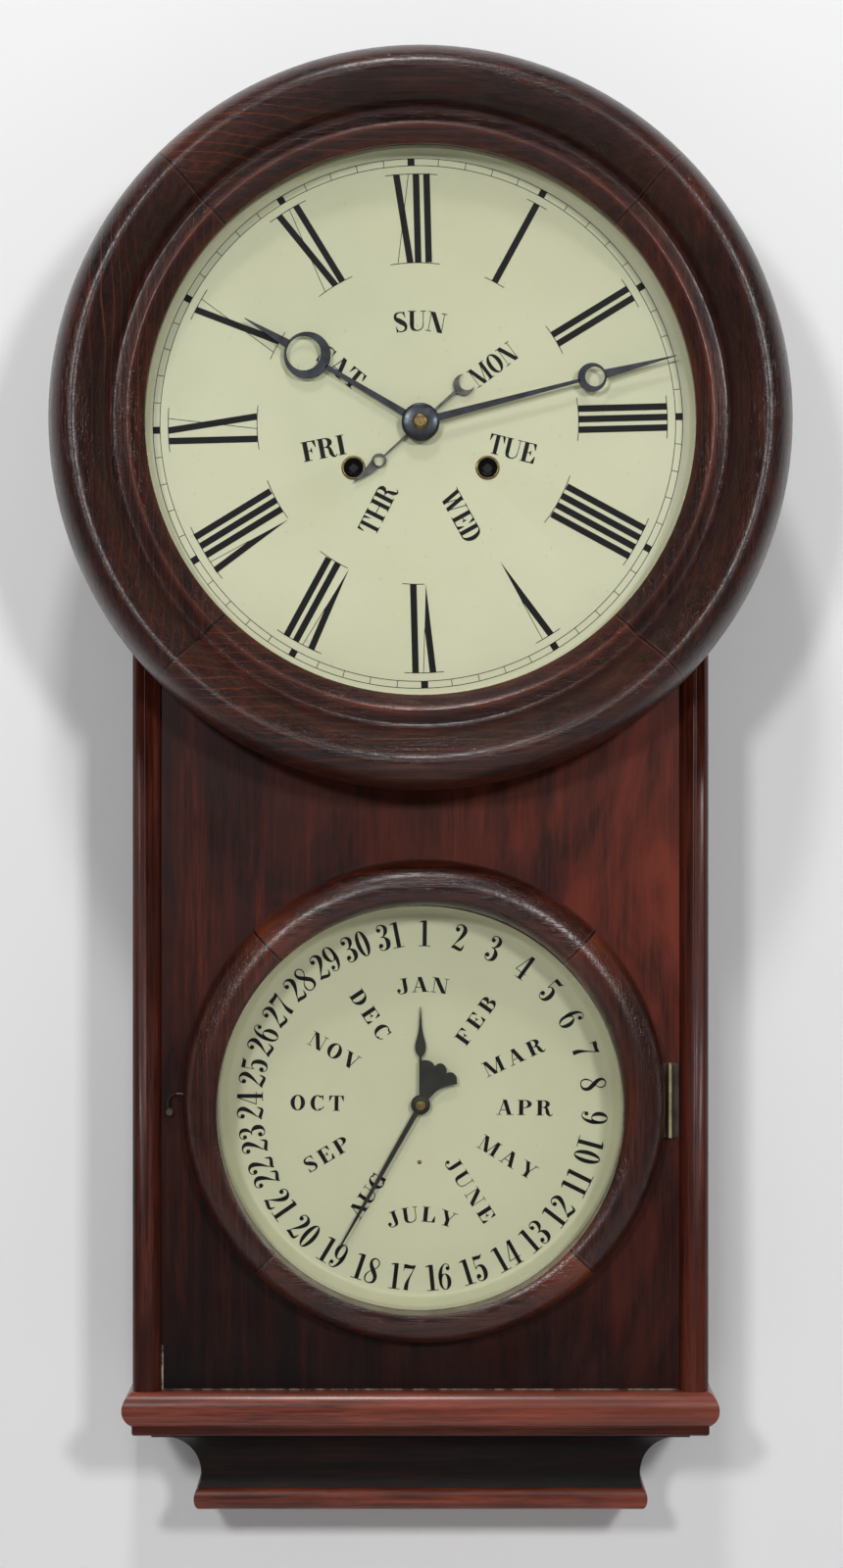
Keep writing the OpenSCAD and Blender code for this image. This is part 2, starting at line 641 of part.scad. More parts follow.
module head_door_ring() color([0.4, 0.15, 0.08]) stand() at([0, 0], head_f) difference() {
    rotate_extrude($fn = 180) polygon(concat(
        [[head_open_r + rebate_w, 0], [head_open_r + rebate_w, rebate_h], [head_open_r, rebate_h],
            [head_open_r, lip_h], [ridge_r - 3, ridge_h - 1.2], [ridge_r, ridge_h],
            [ridge_r + 2.6, ridge_h - 0.9], [hollow_r - 3, hollow_h + 0.7]],
        arc([roll_r, hollow_h], roll_r - hollow_r, roll_h - hollow_h, 180, 90, 10),
        arc([roll_r, edge_h], head_r - roll_r, roll_h - edge_h, 80, 0, 10), [[head_r, 0]]));
    translate([0, 0, -1]) {
        board(head_axis_x - 15, head_r + 2, -head_leaf_len / 2 - slack, head_leaf_len / 2 + slack,
            0, 2.6);
        board(-head_r - 1, -seat_x + 7.7, head_pivot_up - 4.2, head_pivot_up + 4.2, 0, 2.3);
    }
}

module head_glass() color([0.8, 0.9, 0.9, 0.3]) stand()
    disc([0, 0], head_f + rebate_h - glass_t, head_open_r + rebate_w - slack, glass_t, 180);

module head_glass_bead() color([0.42, 0.26, 0.15]) stand() at([0, 0], head_f) difference() {
    cylinder(r = head_open_r + rebate_w - 0.1, h = rebate_h - glass_t, $fn = 180);
    translate([0, 0, -1]) cylinder(r = head_open_r + 0.2, h = rebate_h, $fn = 180);
}

module calendar_door_ring() color([0.4, 0.15, 0.08]) stand() difference() {
    at(ring_at, cal_ring_f) rotate_extrude($fn = 180) polygon(concat(
        [[cal_open_r - 7, 0], [cal_open_r - 7, cal_lip_h - 0.6],
            [cal_r - cal_round_w - cal_inner_w, cal_lip_h]],
        arc([cal_r - cal_round_w, cal_lip_h], cal_inner_w, cal_h - cal_lip_h, 165, 90, 7),
        arc([cal_r - cal_round_w, cal_edge_h], cal_round_w, cal_h - cal_edge_h, 80, 0, 9),
        [[cal_r, 0]]));
    disc(cal_at, cal_ring_f - 1, cal_open_r, cal_h + 2, 180);
    disc(cal_at, cal_ring_f - 1, cal_open_r + rebate_w, rebate_h + 1, 180);
    board(cal_axis_x - 16.4, cal_axis_x + 2, ring_at[1] - cal_leaf_len / 2 - 0.1,
        ring_at[1] + cal_leaf_len / 2 + 0.1, cal_ring_f - 1, cal_ring_f + 1.3);
    translate([cal_hook_at[0] + 10.2, cal_catch_up, panel_f + 2]) rotate([0, -90, 0])
        cylinder(r = 0.75, h = 8, $fn = 24);
}

module calendar_glass() color([0.8, 0.9, 0.9, 0.3]) stand()
    disc(cal_at, cal_ring_f + rebate_h - glass_t, cal_open_r + rebate_w - slack, glass_t, 180);

module calendar_glass_bead() color([0.42, 0.26, 0.15]) stand() at(cal_at, cal_ring_f) difference() {
    cylinder(r = cal_open_r + rebate_w - 0.1, h = rebate_h - glass_t, $fn = 180);
    translate([0, 0, -1]) cylinder(r = cal_open_r + 0.2, h = rebate_h, $fn = 180);
}

// Dials

module time_dial() color([0.86, 0.84, 0.76]) stand() difference() {
    at([0, 0], dial_f) rotate_extrude($fn = 180) polygon([[dial_hole_r, -sheet_t],
        [dial_flat_r, -sheet_t], [dial_flat_r + 3.5, dial_rise - sheet_t],
        [dial_r, dial_rise - sheet_t], [dial_r, dial_rise], [dial_flat_r + 3.1, dial_rise],
        [dial_flat_r - 0.4, 0], [dial_hole_r, 0]]);
    for (p = [time_at, strike_at]) disc(p, dial_f - 2, grommet_r - 0.6, 4);
    for (a = dial_screw_angles) disc(polar(dial_r - 3.5, a), dial_f, screw_r + run, 6, 24);
}

module dial_grommets() color([0.75, 0.6, 0.3]) stand() for (p = [time_at, strike_at])
    at(p, dial_f) difference() {
        union() {
            cylinder(r = grommet_r, h = 0.8, $fn = 64);
            translate([0, 0, -sheet_t]) cylinder(r = grommet_r - 0.65, h = sheet_t + 0.4, $fn = 64);
        }
        translate([0, 0, -sheet_t - 1]) cylinder(r = grommet_hole_r, h = sheet_t + 3, $fn = 64);
    }

module calendar_dial() color([0.86, 0.84, 0.76]) stand() difference() {
    at(cal_at, cal_dial_f) rotate_extrude($fn = 180) polygon([[month_pipe_r + 0.8, -sheet_t],
        [cal_flat_r, -sheet_t], [cal_flat_r + 5.5, cal_dish - sheet_t],
        [cal_dial_r, cal_dish - sheet_t], [cal_dial_r, cal_dish], [cal_flat_r + 4.9, cal_dish],
        [cal_flat_r - 0.6, 0], [month_pipe_r + 0.8, 0]]);
    for (a = cal_screw_angles) disc(cal_at + polar(cal_dial_r - 3, a), panel_back_f - 3,
        screw_r + run, 6, 24);
}

// Hands: flat sheet, each with its own bore and a boss behind

module hand(a, f, boss_r, bore_r) {
    at([0, 0], f) difference() {
        linear_extrude(hand_t) union() {
            circle(r = boss_r, $fn = 64);
            rotate(-a) children();
        }
        translate([0, 0, -1]) cylinder(r = bore_r, h = hand_t + 2, $fn = 48);
    }
}
module moon(d, r, hole_r, off) {
    translate([0, d]) difference() {
        circle(r = r, $fn = 64);
        translate([0, off]) circle(r = hole_r, $fn = 64);
    }
}

// A blade through a list of distances from the centre and widths
module blade(steps) {
    polygon(concat([for (s = steps) [s[1] / 2, s[0]]],
        [for (i = [len(steps) - 1:-1:0]) [-steps[i][1] / 2, steps[i][0]]]));
}

module minute_hand() color([0.08, 0.08, 0.09]) stand() hand(75.5, minute_hand_f, 10.5, centre_r) {
    blade([[0, 4.4], [minute_moon - 6.6, 1.9]]);
    moon(minute_moon, 8, 5.4, 1.55);
    blade([[minute_moon + 7.4, 5], [minute_len, 0.4]]);
}

module hour_hand() color([0.08, 0.08, 0.09]) stand() hand(300.6, hour_hand_f, 10.5, hour_pipe_r) {
    blade([[0, 4], [hour_moon - 11.8, 2.4]]);
    moon(hour_moon, 13, 9.5, 2.2);
    blade([[hour_moon + 12.2, 5], [hour_len, 0.5]]);
}

module day_hand() color([0.08, 0.08, 0.09]) stand() hand(227.6, day_hand_f, 7.5, day_pipe_r) {
    blade([[0, 1.8], [27.4, 1]]);
    moon(31, 4, 2.8, 0.2);
    polygon([[0, 34.2], [3, 33.4], [2.2, 37.5], [1.6, 42], [1.3, 47], [0.6, day_len], [-1.3, 43],
        [-2.5, 38], [-3, 33.4]]);
    rotate(-4.4) translate([0, -day_tail + 5.8]) difference() {
        union() { circle(r = 5.8, $fn = 64); blade([[0, 1.5], [day_tail - 5.8, 2.2]]); }
        translate([0, -2.4]) circle(r = 4.6, $fn = 64);
    }
}

module minute_collet() color([0.8, 0.66, 0.36]) stand() at([0, 0], minute_hand_f + hand_t) difference() {
    rotate_extrude($fn = 64) polygon([[0, 0], [4.7, 0], [4.7, 0.6], [3.6, 1.4], [2.6, 1.8], [0, 1.8]]);
    translate([0, 0, -1]) cylinder(r = centre_r, h = 2.2, $fn = 48);
}

// The long end points at the date, the scalloped tail balances it
module date_hand() color([0.08, 0.08, 0.09]) stand() at(cal_at, 0)
    hand(209.5, date_hand_f, 5.3, date_arbor_r) {
        blade([[0, 3], [date_len, 0.6]]);
        rotate(209.5)
            polygon(concat([[-0.9, 0], [3, 0], [8, 5.4], [14.4, 9.6], [21, 11.6]],
                arc([17.6, 13.8], 3.6, 4, -10, 80, 5), arc([11, 18.6], 4.2, 4.2, 12, 105, 5),
                arc([3.4, 21.4], 3.8, 2.8, 25, 150, 5), [[-0.9, 22]]));
    }

module month_hand() color([0.08, 0.08, 0.09]) stand() at(cal_at, 0)
    hand(0, month_hand_f, 5.3, month_pipe_r)
        blade([[0, 1.6], [26.6, 1.3], [27.4, 2.6], [29.4, 5], [32.4, 6.2], [35.4, 5.2], [39, 3.6],
            [43, 2], [47, 1.2], [month_len, 0.4]]);

// Movement frame

module movement_battens() color([0.45, 0.33, 0.22]) stand() difference() {
    for (s = [-1, 1]) board(s * batten_x - batten_w / 2, s * batten_x + batten_w / 2, -plate_down,
        plate_up, back_t, plate_f);
    for (p = batten_screws) disc(p, back_t - 1, screw_r + run, batten_t + 2, 24);
}

train = [second_at, third_at, escape_at, strike_second_at, pin_at, warning_at, fly_at];

module plate(f) {
    difference() {
        board(-plate_half_w, plate_half_w, -plate_down, plate_up, f, f + plate_t);
        for (p = train) disc(p, f - 1, pivot_r + run, plate_t + 2, 24);
        disc(hammer_at, f - 1, arbor_r + run, plate_t + 2, 24);
        disc(verge_at, f - 1, arbor_r + run, plate_t + 2, 24);
        disc([0, 0], f - 1, centre_r + run, plate_t + 2, 32);
        for (p = [time_at, strike_at]) disc(p, f - 1, wind_r + run, plate_t + 2, 48);
        children();
    }
}
wind_r = 2.6;

module back_plate() color([0.78, 0.64, 0.35]) stand() {
    plate(plate_f) for (p = batten_screws) disc(p, plate_f - 1, screw_r + run, plate_t + 2, 24);
    for (p = pillars) {
        disc(p, in_f, 3.5, plate_gap, 32);
        disc(p, in_f, 1.95, plate_gap + plate_t + 3, 32);
    }
    board(-6, 6, verge_up + 6, verge_up + 11, 17, plate_f);
    board(-5, 5, verge_up - 4, verge_up + 11, 16.5, 18.5);
    disc(verge_at, 18, 1, 6.5, 32);
}

// A click: its nose stays just off the ratchet, its spring lies against it
module click(p, s) {
    q = p + polar(14.2, s > 0 ? 215 : 325);
    disc(q, front_f, 1.8, 4, 32);
    at(q, front_f + 0.7) rotate(aim(q, p) + s * 34) translate([-1, -1.1, 0]) cube([9, 2.2, 1.5]);
}

module front_plate() color([0.78, 0.64, 0.35]) stand() {
    plate(front_in_f) for (p = pillars) disc(p, front_in_f - 1, 2, plate_t + 2, 32);
    for (p = [minute_at, trip_at]) disc(p, front_in_f + 1, 1.5, plate_t + 11.5, 32);
    click(time_at, 1);
    click(strike_at, -1);
    for (u = [-2, -52]) difference() {
        board(rod_x - 3, rod_x + 3, u, u + 3, front_f - 0.5, front_f + 9.4);
        translate([rod_x, u - 1, front_f + 6.9]) rotate([-90, 0, 0])
            cylinder(r = rod_r + run, h = 5, $fn = 32);
    }
}

// A spiral of half rings, each wider than the last, and the iron foot that it stands on
module gong() color([0.3, 0.3, 0.34]) stand() at(gong_at, 0) {
    pitch = 5.2;
    wire_r = 1.2;
    r_out = gong_r - wire_r;
    for (i = [0:9]) translate([0, i % 2 == 0 ? 0 : pitch / 2, back_t + 8]) rotate(i % 2 == 0 ? -90 : 90)
        rotate_extrude(angle = 180, $fn = 90) translate([r_out - i * pitch / 2, 0])
            circle(r = wire_r, $fn = 24);
    translate([0, 0, back_t]) cylinder(r = 12, h = 3, $fn = 48);
    translate([0, 0, back_t]) cylinder(r = 4.5, h = 11, $fn = 48);
    translate([-1.7, -8.3, back_t + 6.2]) cube([3.4, 8, 3.6]);
    translate([0, 0, back_t - 7.5]) cylinder(r = screw_r, h = 9, $fn = 24);
}

// Time train, in the order of the power

module great_wheel(p, ph) {
    at(p, in_f + great_lv) difference() {
        union() {
            rotate(ph) linear_extrude(great_t) wheel_outline(z_great, great_m);
            translate([0, 0, great_t]) cylinder(r = barrel_r, h = barrel_top - great_lv - great_t, $fn = 96);
        }
        translate([0, 0, -1]) cylinder(r = wind_r + run, h = barrel_top + 2, $fn = 48);
    }
}
module winding_arbor(p, s) {
    difference() {
        union() {
            disc(p, plate_f, wind_r, front_f + 6 - plate_f, 48);
            at(p, front_f + 0.8) rotate(s > 0 ? 0 : 180) linear_extrude(1.6) ratchet(20, 8, 1.4);
            disc(p, front_f + 2.2, wind_r + 0.8, dial_f - front_f - 11, 48);
        }
    }
    at(p, dial_f - 9) rotate(45) translate([-2.1, -2.1, 0]) cube([4.2, 4.2, 6.4]);
}

module time_great_wheel() color([0.8, 0.66, 0.36]) stand() great_wheel(time_at, aim(time_at, second_at));
module time_winding_arbor() color([0.6, 0.6, 0.6]) stand() winding_arbor(time_at, 1);
module strike_great_wheel() color([0.8, 0.66, 0.36]) stand()
    great_wheel(strike_at, aim(strike_at, strike_second_at));
module strike_winding_arbor() color([0.6, 0.6, 0.6]) stand() winding_arbor(strike_at, -1);

// An arbor with its pinion below and its wheel above, each turned to mesh with its neighbour
module mobile(p, wheel_lv, z, m, t, next, pinion_lv, zp, mp, tp, prev, arms = 5) {
    arbor(p);
    at(p, in_f + wheel_lv) wheel(z, m, t, 3.6, aim(p, next), arms);
    at(p, in_f + pinion_lv) lantern(zp, mp, tp, gap_at(zp, prev, p));
    disc(p, in_f + wheel_lv - 1.2, 3.2, t + 2.4, 32);
}

module time_second_wheel() color([0.8, 0.66, 0.36]) stand() mobile(second_at, second_lv, z_second,
    second_m, wheel_t, [0, 0], great_lv, z_leaf, great_m, great_t, time_at);

module centre_wheel() color([0.8, 0.66, 0.36]) stand() {
    disc([0, 0], plate_f, centre_r, minute_hand_f + hand_t + 1.2 - plate_f, 48);
    at([0, 0], in_f + centre_lv) wheel(z_centre, centre_m, wheel_t, 4.4, aim([0, 0], third_at));
    disc([0, 0], in_f + centre_lv - 1.2, 4, wheel_t + 2.4, 32);
    at([0, 0], in_f + second_lv) lantern(z_centre_pinion, second_m, wheel_t,
        gap_at(z_centre_pinion, second_at, [0, 0]));
    disc([0, 0], front_f + 0.4, cannon_r, minute_hand_f - front_f - 0.4, 48);
    at([0, 0], front_f + cannon_lv) rotate(aim([0, 0], minute_at)) linear_extrude(2.2)
        wheel_outline(z_cannon, cannon_m, false);
}

module third_wheel() color([0.8, 0.66, 0.36]) stand() mobile(third_at, third_lv, z_third,
    fine_m, wheel_t, escape_at, centre_lv, z_leaf, centre_m, wheel_t, [0, 0]);

module escape_wheel() color([0.8, 0.66, 0.36]) stand() {
    arbor(escape_at);
    at(escape_at, in_f + escape_lv) difference() {
        linear_extrude(escape_t) polygon([for (i = [0:z_escape - 1]) for (c = [[escape_r, 0],
            [escape_r - 2.2, 1.5], [escape_r - 2.2, 6.2]]) polar(c[0], 360 * i / z_escape + c[1])]);
        for (i = [0:3]) rotate(90 * i) translate([0, 0, -1]) linear_extrude(escape_t + 2)
            crossing(3.6, escape_r - 4.4, 45);
    }
    disc(escape_at, in_f + escape_lv - 1, 2.6, escape_t + 2, 32);
    at(escape_at, in_f + third_lv) lantern(z_leaf, fine_m, wheel_t, gap_at(z_leaf, third_at, escape_at));
}

module verge() color([0.62, 0.62, 0.62]) stand() {
    disc(verge_at, 25, arbor_r, front_f - 25, 32);
    disc(verge_at, 25, 2.4, 2, 32);
    at(verge_at, in_f + escape_lv - 0.2) linear_extrude(escape_t + 0.6) for (s = [-1, 1])
        polygon([[0, 2.4], [s * 11.2, -3.6], [s * 12, -8.3], [s * 10.7, -7.8], [s * 9.6, -4.6], [0, -1.4]]);
    board(-0.9, 0.9, 3, verge_up, 25.2, 26.8);
    board(-3.1, 3.1, 1.6, 3.4, 25.2, 26.8);
    for (s = [-1, 1]) board(s * 2.45 - 0.65, s * 2.45 + 0.65, 1.6, 3.4, 20, 26);
}

module pendulum_rod() color([0.6, 0.6, 0.55]) stand() {
    difference() {
        union() {
            disc(verge_at, 20.4, 3, 3.2, 48);
            board(-1.2, 1.2, verge_up - 6, verge_up - 1.5, 20.8, 23.2);
            translate([0, verge_up - pend_len - bob_r - 6, 22]) rotate([-90, 0, 0])
                cylinder(r = screw_r, h = pend_len + bob_r + 1, $fn = 32);
            translate([0, verge_up - pend_len - bob_r - 5, 22]) rotate([-90, 0, 0])
                cylinder(r = 4, h = 3.5, $fn = 32);
        }
        disc(verge_at, 19, 1 + run, 6, 32);
    }
}

module pendulum_bob() color([0.8, 0.66, 0.36]) stand() difference() {
    at([0, verge_up - pend_len], 22) rotate(45) rotate_extrude($fn = 96) polygon(concat(
        [[0, -bob_t / 2]], arc([bob_r - 24, 0], 24, bob_t / 2, -90, 90, 13), [[0, bob_t / 2]]));
    translate([0, verge_up - pend_len - bob_r - 3, 22]) rotate([-90, 0, 0])
        cylinder(r = screw_r + run, h = 2 * bob_r + 6, $fn = 32);
}

// Striking train

module strike_second_wheel() color([0.8, 0.66, 0.36]) stand() mobile(strike_second_at, second_lv,
    z_strike_second, centre_m, wheel_t, pin_at, great_lv, z_leaf, great_m, great_t, strike_at);

module pin_wheel() color([0.8, 0.66, 0.36]) stand() {
    mobile(pin_at, centre_lv, z_pin, fine_m, wheel_t, warning_at, second_lv, z_leaf, centre_m,
        wheel_t, strike_second_at, 0);
    for (i = [0:7]) disc(pin_at + polar(9, 45 * i + aim(pin_at, hammer_at)), in_f + centre_lv + 1,
        0.6, 4.4, 16);
}

module warning_wheel() color([0.8, 0.66, 0.36]) stand() mobile(warning_at, warning_lv, z_warning,
    fine_m, wheel_t, fly_at, centre_lv, z_warning_pinion, fine_m, wheel_t, pin_at);

module fly() color([0.8, 0.66, 0.36]) stand() {
    arbor(fly_at);
    at(fly_at, in_f + warning_lv) lantern(z_fly_pinion, fine_m, wheel_t, gap_at(z_fly_pinion,
        warning_at, fly_at));
    disc(fly_at, in_f + 12, 2, 7, 32);
    at(fly_at, in_f + 12.5) rotate(25) translate([-11, -0.4, 0]) cube([22, 0.8, 6]);
}

module hammer() color([0.6, 0.58, 0.5]) stand() {
    disc(hammer_at, 22.6, arbor_r, front_f - 22.6, 32);
    disc(hammer_at, 22.6, 2.6, 2.8, 32);
    disc(hammer_at, in_f + 11.6, 2.4, 3.2, 32);
    at(hammer_at, in_f + 12) rotate(aim(hammer_at, pin_at)) translate([0, -0.8, 0]) cube([13.1, 1.6, 2]);
    board(hammer_at[0] - 0.9, hammer_at[0] + 0.9, gong_at[1] + 6, hammer_at[1], 23, 24.8);
    translate([gong_at[0] + gong_r + 1, gong_at[1] + 4, back_t + 9.5]) rotate([0, 90, 0])
        cylinder(r = 4, h = 10, $fn = 48);
}

// Motion work and the daily trip

module minute_wheel() color([0.8, 0.66, 0.36]) stand() difference() {
    union() {
        at(minute_at, front_f + cannon_lv) rotate(aim(minute_at, [0, 0]) + 180 / z_minute)
            wheel(z_minute, cannon_m, wheel_t, 4.2, 0, 4, false);
        disc(minute_at, front_f + 0.6, 3, hour_lv - 1.2, 32);
        disc(minute_at, front_f + 0.6, 2.2, hour_lv + 1.2, 32);
        at(minute_at, front_f + hour_lv - 0.2) rotate(aim(minute_at, [0, 0]))
            linear_extrude(2) wheel_outline(z_minute_pinion, hour_m, false);
    }
    disc(minute_at, front_f - 1, 1.5 + run, 14, 32);
}

module hour_wheel() color([0.8, 0.66, 0.36]) stand() difference() {
    union() {
        at([0, 0], front_f + hour_lv) rotate(aim([0, 0], minute_at) + 180 / z_hour)
            wheel(z_hour, hour_m, wheel_t, 4.4, 0, 4, false);
        disc([0, 0], front_f + hour_lv - 0.6, hour_pipe_r, hour_hand_f + hand_t - front_f - hour_lv + 0.6);
        disc([0, 0], front_f + hour_lv - 0.6, 4, 3, 32);
        at([0, 0], front_f + hour_pinion_lv) rotate(aim([0, 0], trip_at)) linear_extrude(2.2)
            wheel_outline(z_hour_pinion, hour_m, false);
    }
    disc([0, 0], front_f, cannon_r + run, hour_hand_f + 2 - front_f, 48);
}

module trip_wheel() color([0.8, 0.66, 0.36]) stand() difference() {
    union() {
        at(trip_at, front_f + trip_lv) rotate(aim(trip_at, [0, 0]) + 180 / z_trip)
            wheel(z_trip, hour_m, wheel_t, 5, 0, 4, false);
        disc(trip_at, front_f + 7.5, 3, 4, 32);
        at(trip_at, front_f + 7.5) linear_extrude(1.4)
            polygon([for (i = [0:23]) polar(5 + 4 * i / 23, 90 + 15 * i)]);
        disc(trip_at + polar(7, 20), front_f + trip_lv, 0.6, 4.8, 24);
    }
    disc(trip_at, front_f + 6, 1.5 + run, 10, 32);
}

module day_wheel() color([0.8, 0.66, 0.36]) stand() difference() {
    union() {
        at([0, 0], front_f + day_lv) linear_extrude(1.4) polygon([for (i = [0:z_day - 1])
            for (c = [[day_r, 0], [day_r * 0.62, 14], [day_r * 0.62, 37.4]])
                polar(c[0], 360 * i / z_day + c[1])]);
        disc([0, 0], front_f + day_lv - 0.4, day_pipe_r, day_hand_f + hand_t - front_f - day_lv + 0.4);
    }
    disc([0, 0], front_f + day_lv - 2, hour_pipe_r + run, day_hand_f + 6 - front_f - day_lv, 64);
}

// Slides up and down; its head lies over the cam and its tail beside the date wheel
module trip_rod() color([0.7, 0.66, 0.5]) stand() {
    top = trip_at[1] + 11;
    jog = -plate_down - 22;
    high_f = front_f + 6.9;
    translate([rod_x, jog, high_f]) rotate([-90, 0, 0]) cylinder(r = rod_r, h = top + 1.2 - jog, $fn = 32);
    board(trip_at[0] - 1, rod_x + 0.8, top - 0.9, top + 0.9, high_f + 0.5, high_f + 1.6);
    board(rod_x - 1.4, rod_x + 1.4, jog - 1.4, jog + 1.4, rod_low_f - 1.4, high_f + 1.4);
    translate([rod_x, cal_at[1] - 8, rod_low_f]) rotate([-90, 0, 0])
        cylinder(r = rod_r, h = jog - cal_at[1] + 8, $fn = 32);
    board(date_r + 0.4, rod_x, cal_at[1] - 0.8, cal_at[1] + 0.8, date_f, date_f + wheel_t);
}

// Calendar work

module calendar_plate() color([0.78, 0.64, 0.35]) stand() {
    difference() {
        disc(cal_at, cal_plate_f, cal_plate_r, plate_t, 96);
        disc(cal_at, cal_plate_f - 1, date_arbor_r + run, plate_t + 2, 32);
    }
    for (i = [0:3]) disc(cal_at + polar(cal_plate_r - 8, 30 + 90 * i + (i % 2 == 0 ? 22 : 38)),
        cal_plate_f + plate_t - 0.5, 2.5, cal_gap + 0.5, 32);
    difference() {
        board(rod_x - 3, rod_x + 3, cal_at[1] + 26, cal_at[1] + 30, cal_plate_f + plate_t - 0.5,
            rod_low_f + 3);
        translate([rod_x, cal_at[1] + 25, rod_low_f]) rotate([-90, 0, 0])
            cylinder(r = rod_r + run, h = 6, $fn = 32);
    }
    at(cal_at + [-date_r - 1.6, 0], 0) {
        translate([0, -9, cal_plate_f + plate_t - 0.5]) cylinder(r = 1.1, h = date_f - cal_plate_f, $fn = 24);
        translate([-0.5, -9, date_f]) cube([1, 10, 1.2]);
    }
    at(cal_at + [-date_r - 5, 5], 0) {
        translate([0, 0, cal_plate_f + plate_t - 0.5]) cylinder(r = 1.6, h = month_f - cal_plate_f, $fn = 24);
        translate([0, -0.5, month_f]) cube([date_r - month_r + 3.4, 1, 1.2]);
    }
}

module date_wheel() color([0.8, 0.66, 0.36]) stand() at(cal_at, 0) {
    translate([0, 0, date_f]) difference() {
        linear_extrude(wheel_t) ratchet(z_date, date_r, 3);
        for (i = [0:4]) rotate(72 * i) translate([0, 0, -1]) linear_extrude(wheel_t + 2)
            crossing(5.4, date_r - 6, 36);
    }
    translate([0, 0, date_f - 2.6]) cylinder(r = 5, h = wheel_t + 4.6, $fn = 48);
    translate([0, 0, cal_plate_f - 1]) cylinder(r = date_arbor_r, h = date_hand_f + hand_t + 1.5
        - cal_plate_f, $fn = 48);
    translate([0, 0, date_hand_f + hand_t]) cylinder(r = 2.7, h = 1.2, $fn = 48);
}

module month_wheel() color([0.8, 0.66, 0.36]) stand() at(cal_at, 0) difference() {
    union() {
        translate([0, 0, month_f]) linear_extrude(wheel_t) ratchet(z_month, month_r, 4);
        translate([0, 0, month_f - 1.4]) cylinder(r = 6, h = wheel_t + 2.8, $fn = 48);
        translate([0, 0, month_f - 1.4]) cylinder(r = month_pipe_r,
            h = month_hand_f + hand_t + 0.4 - month_f + 1.4, $fn = 48);
    }
    translate([0, 0, month_f - 3]) cylinder(r = date_arbor_r + run, h = 20, $fn = 48);
}

backboard();
side_boards();
stile_beads();
top_board();
front_panel();
dial_surround();
base_moulding();
base_fillet();
base_cove();
base_foot();
hanger_plate();
fasteners();
case_fittings();
time_dial();
dial_grommets();
movement_battens();
back_plate();
front_plate();
gong();
calendar_dial();
calendar_plate();
head_door_ring();
head_glass();
head_glass_bead();
head_door_fittings();
head_hook();
calendar_door_ring();
calendar_glass();
calendar_glass_bead();
calendar_door_fittings();
calendar_hook();
centre_wheel();
minute_hand();
minute_collet();
hour_wheel();
hour_hand();
minute_wheel();
trip_wheel();
day_wheel();
day_hand();
time_great_wheel();
time_winding_arbor();
strike_great_wheel();
strike_winding_arbor();
time_second_wheel();
third_wheel();
escape_wheel();
strike_second_wheel();
pin_wheel();
warning_wheel();
fly();
hammer();
verge();
pendulum_rod();
pendulum_bob();
trip_rod();
date_wheel();
date_hand();
month_wheel();
month_hand();
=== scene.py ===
"""Dresses the calendar clock's frame: turned rings, painted dials, hands, wood, brass and glass."""
import math

import bpy
from mathutils import Matrix, Vector


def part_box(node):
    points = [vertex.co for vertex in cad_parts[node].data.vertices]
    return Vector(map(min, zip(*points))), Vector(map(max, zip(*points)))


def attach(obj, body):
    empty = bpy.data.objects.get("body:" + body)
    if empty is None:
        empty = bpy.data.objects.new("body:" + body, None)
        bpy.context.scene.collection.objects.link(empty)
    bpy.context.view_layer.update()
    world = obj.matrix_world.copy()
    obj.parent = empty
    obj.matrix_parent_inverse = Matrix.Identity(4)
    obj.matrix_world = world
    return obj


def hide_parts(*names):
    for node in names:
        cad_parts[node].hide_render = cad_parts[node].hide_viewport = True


bl_info = {
    "name": "Calendar Clock",
    "version": (1, 0, 0),
    "blender": (4, 5, 0),
    "location": "View3D > Sidebar > Calendar Clock",
    "description": "Builds the visible pieces of a wall calendar clock over its frame",
    "category": "Object",
}

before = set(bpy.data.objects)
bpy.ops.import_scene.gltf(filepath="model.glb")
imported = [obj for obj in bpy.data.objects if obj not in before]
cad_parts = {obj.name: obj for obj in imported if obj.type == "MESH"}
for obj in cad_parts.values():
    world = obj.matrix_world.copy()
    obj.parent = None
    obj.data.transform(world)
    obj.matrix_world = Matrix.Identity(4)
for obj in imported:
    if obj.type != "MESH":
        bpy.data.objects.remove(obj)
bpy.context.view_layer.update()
MM = 0.001
DROP = 84.0          # the time dial's centre lies this far under the hanging point, in mm
CAL = (0.0, -380.0)  # the calendar dial's centre, right and up from the time dial's centre
RING = (2.1, -375.8)  # the calendar ring's own centre
TIME_PRINT = (-1.5, -0.1)  # the middle of the hours and days, painted a little off the centre
CALENDAR_PRINT = (1.7, -380.8)  # the middle of the dates and months
CALENDAR_HINGE = 138.4  # how far right the calendar hinge's barrel stands
HEAD_HINGE = 200.8  # and the head hinge's
BARREL_HIGHLIGHT = 0.9  # half the width of the painted highlight along a barrel
KEYHOLES = ((37.2, -24.7), (-37.2, -24.7))  # the middles of the winding holes
# Distances from the wall in mm: the flats of both dials, the panel and the backs of the five hands
TIME_FRONT, CALENDAR_FRONT = 84, 62
PANEL = 79.9
INK = 0.12  # the thickness of the print, in mm
MINUTE, HOUR, DAY, DATE, MONTH = 91.2, 88.6, 86, 66.2, 64
FACING = (math.radians(90), 0, 0)  # turns a circle that lies flat towards the viewer


def at(x, u, f):
    """A point right of, above and in front of the time dial's centre on the wall, in mm."""
    return Vector((x * MM, -f * MM, (u - DROP) * MM))


def srgb(r, g, b):
    """A colour given in screen values from 0 to 255, as the shaders want it."""
    return tuple((c / 255 / 12.92) if c <= 10 else ((c / 255 + 0.055) / 1.055) ** 2.4 for c in (r, g, b))


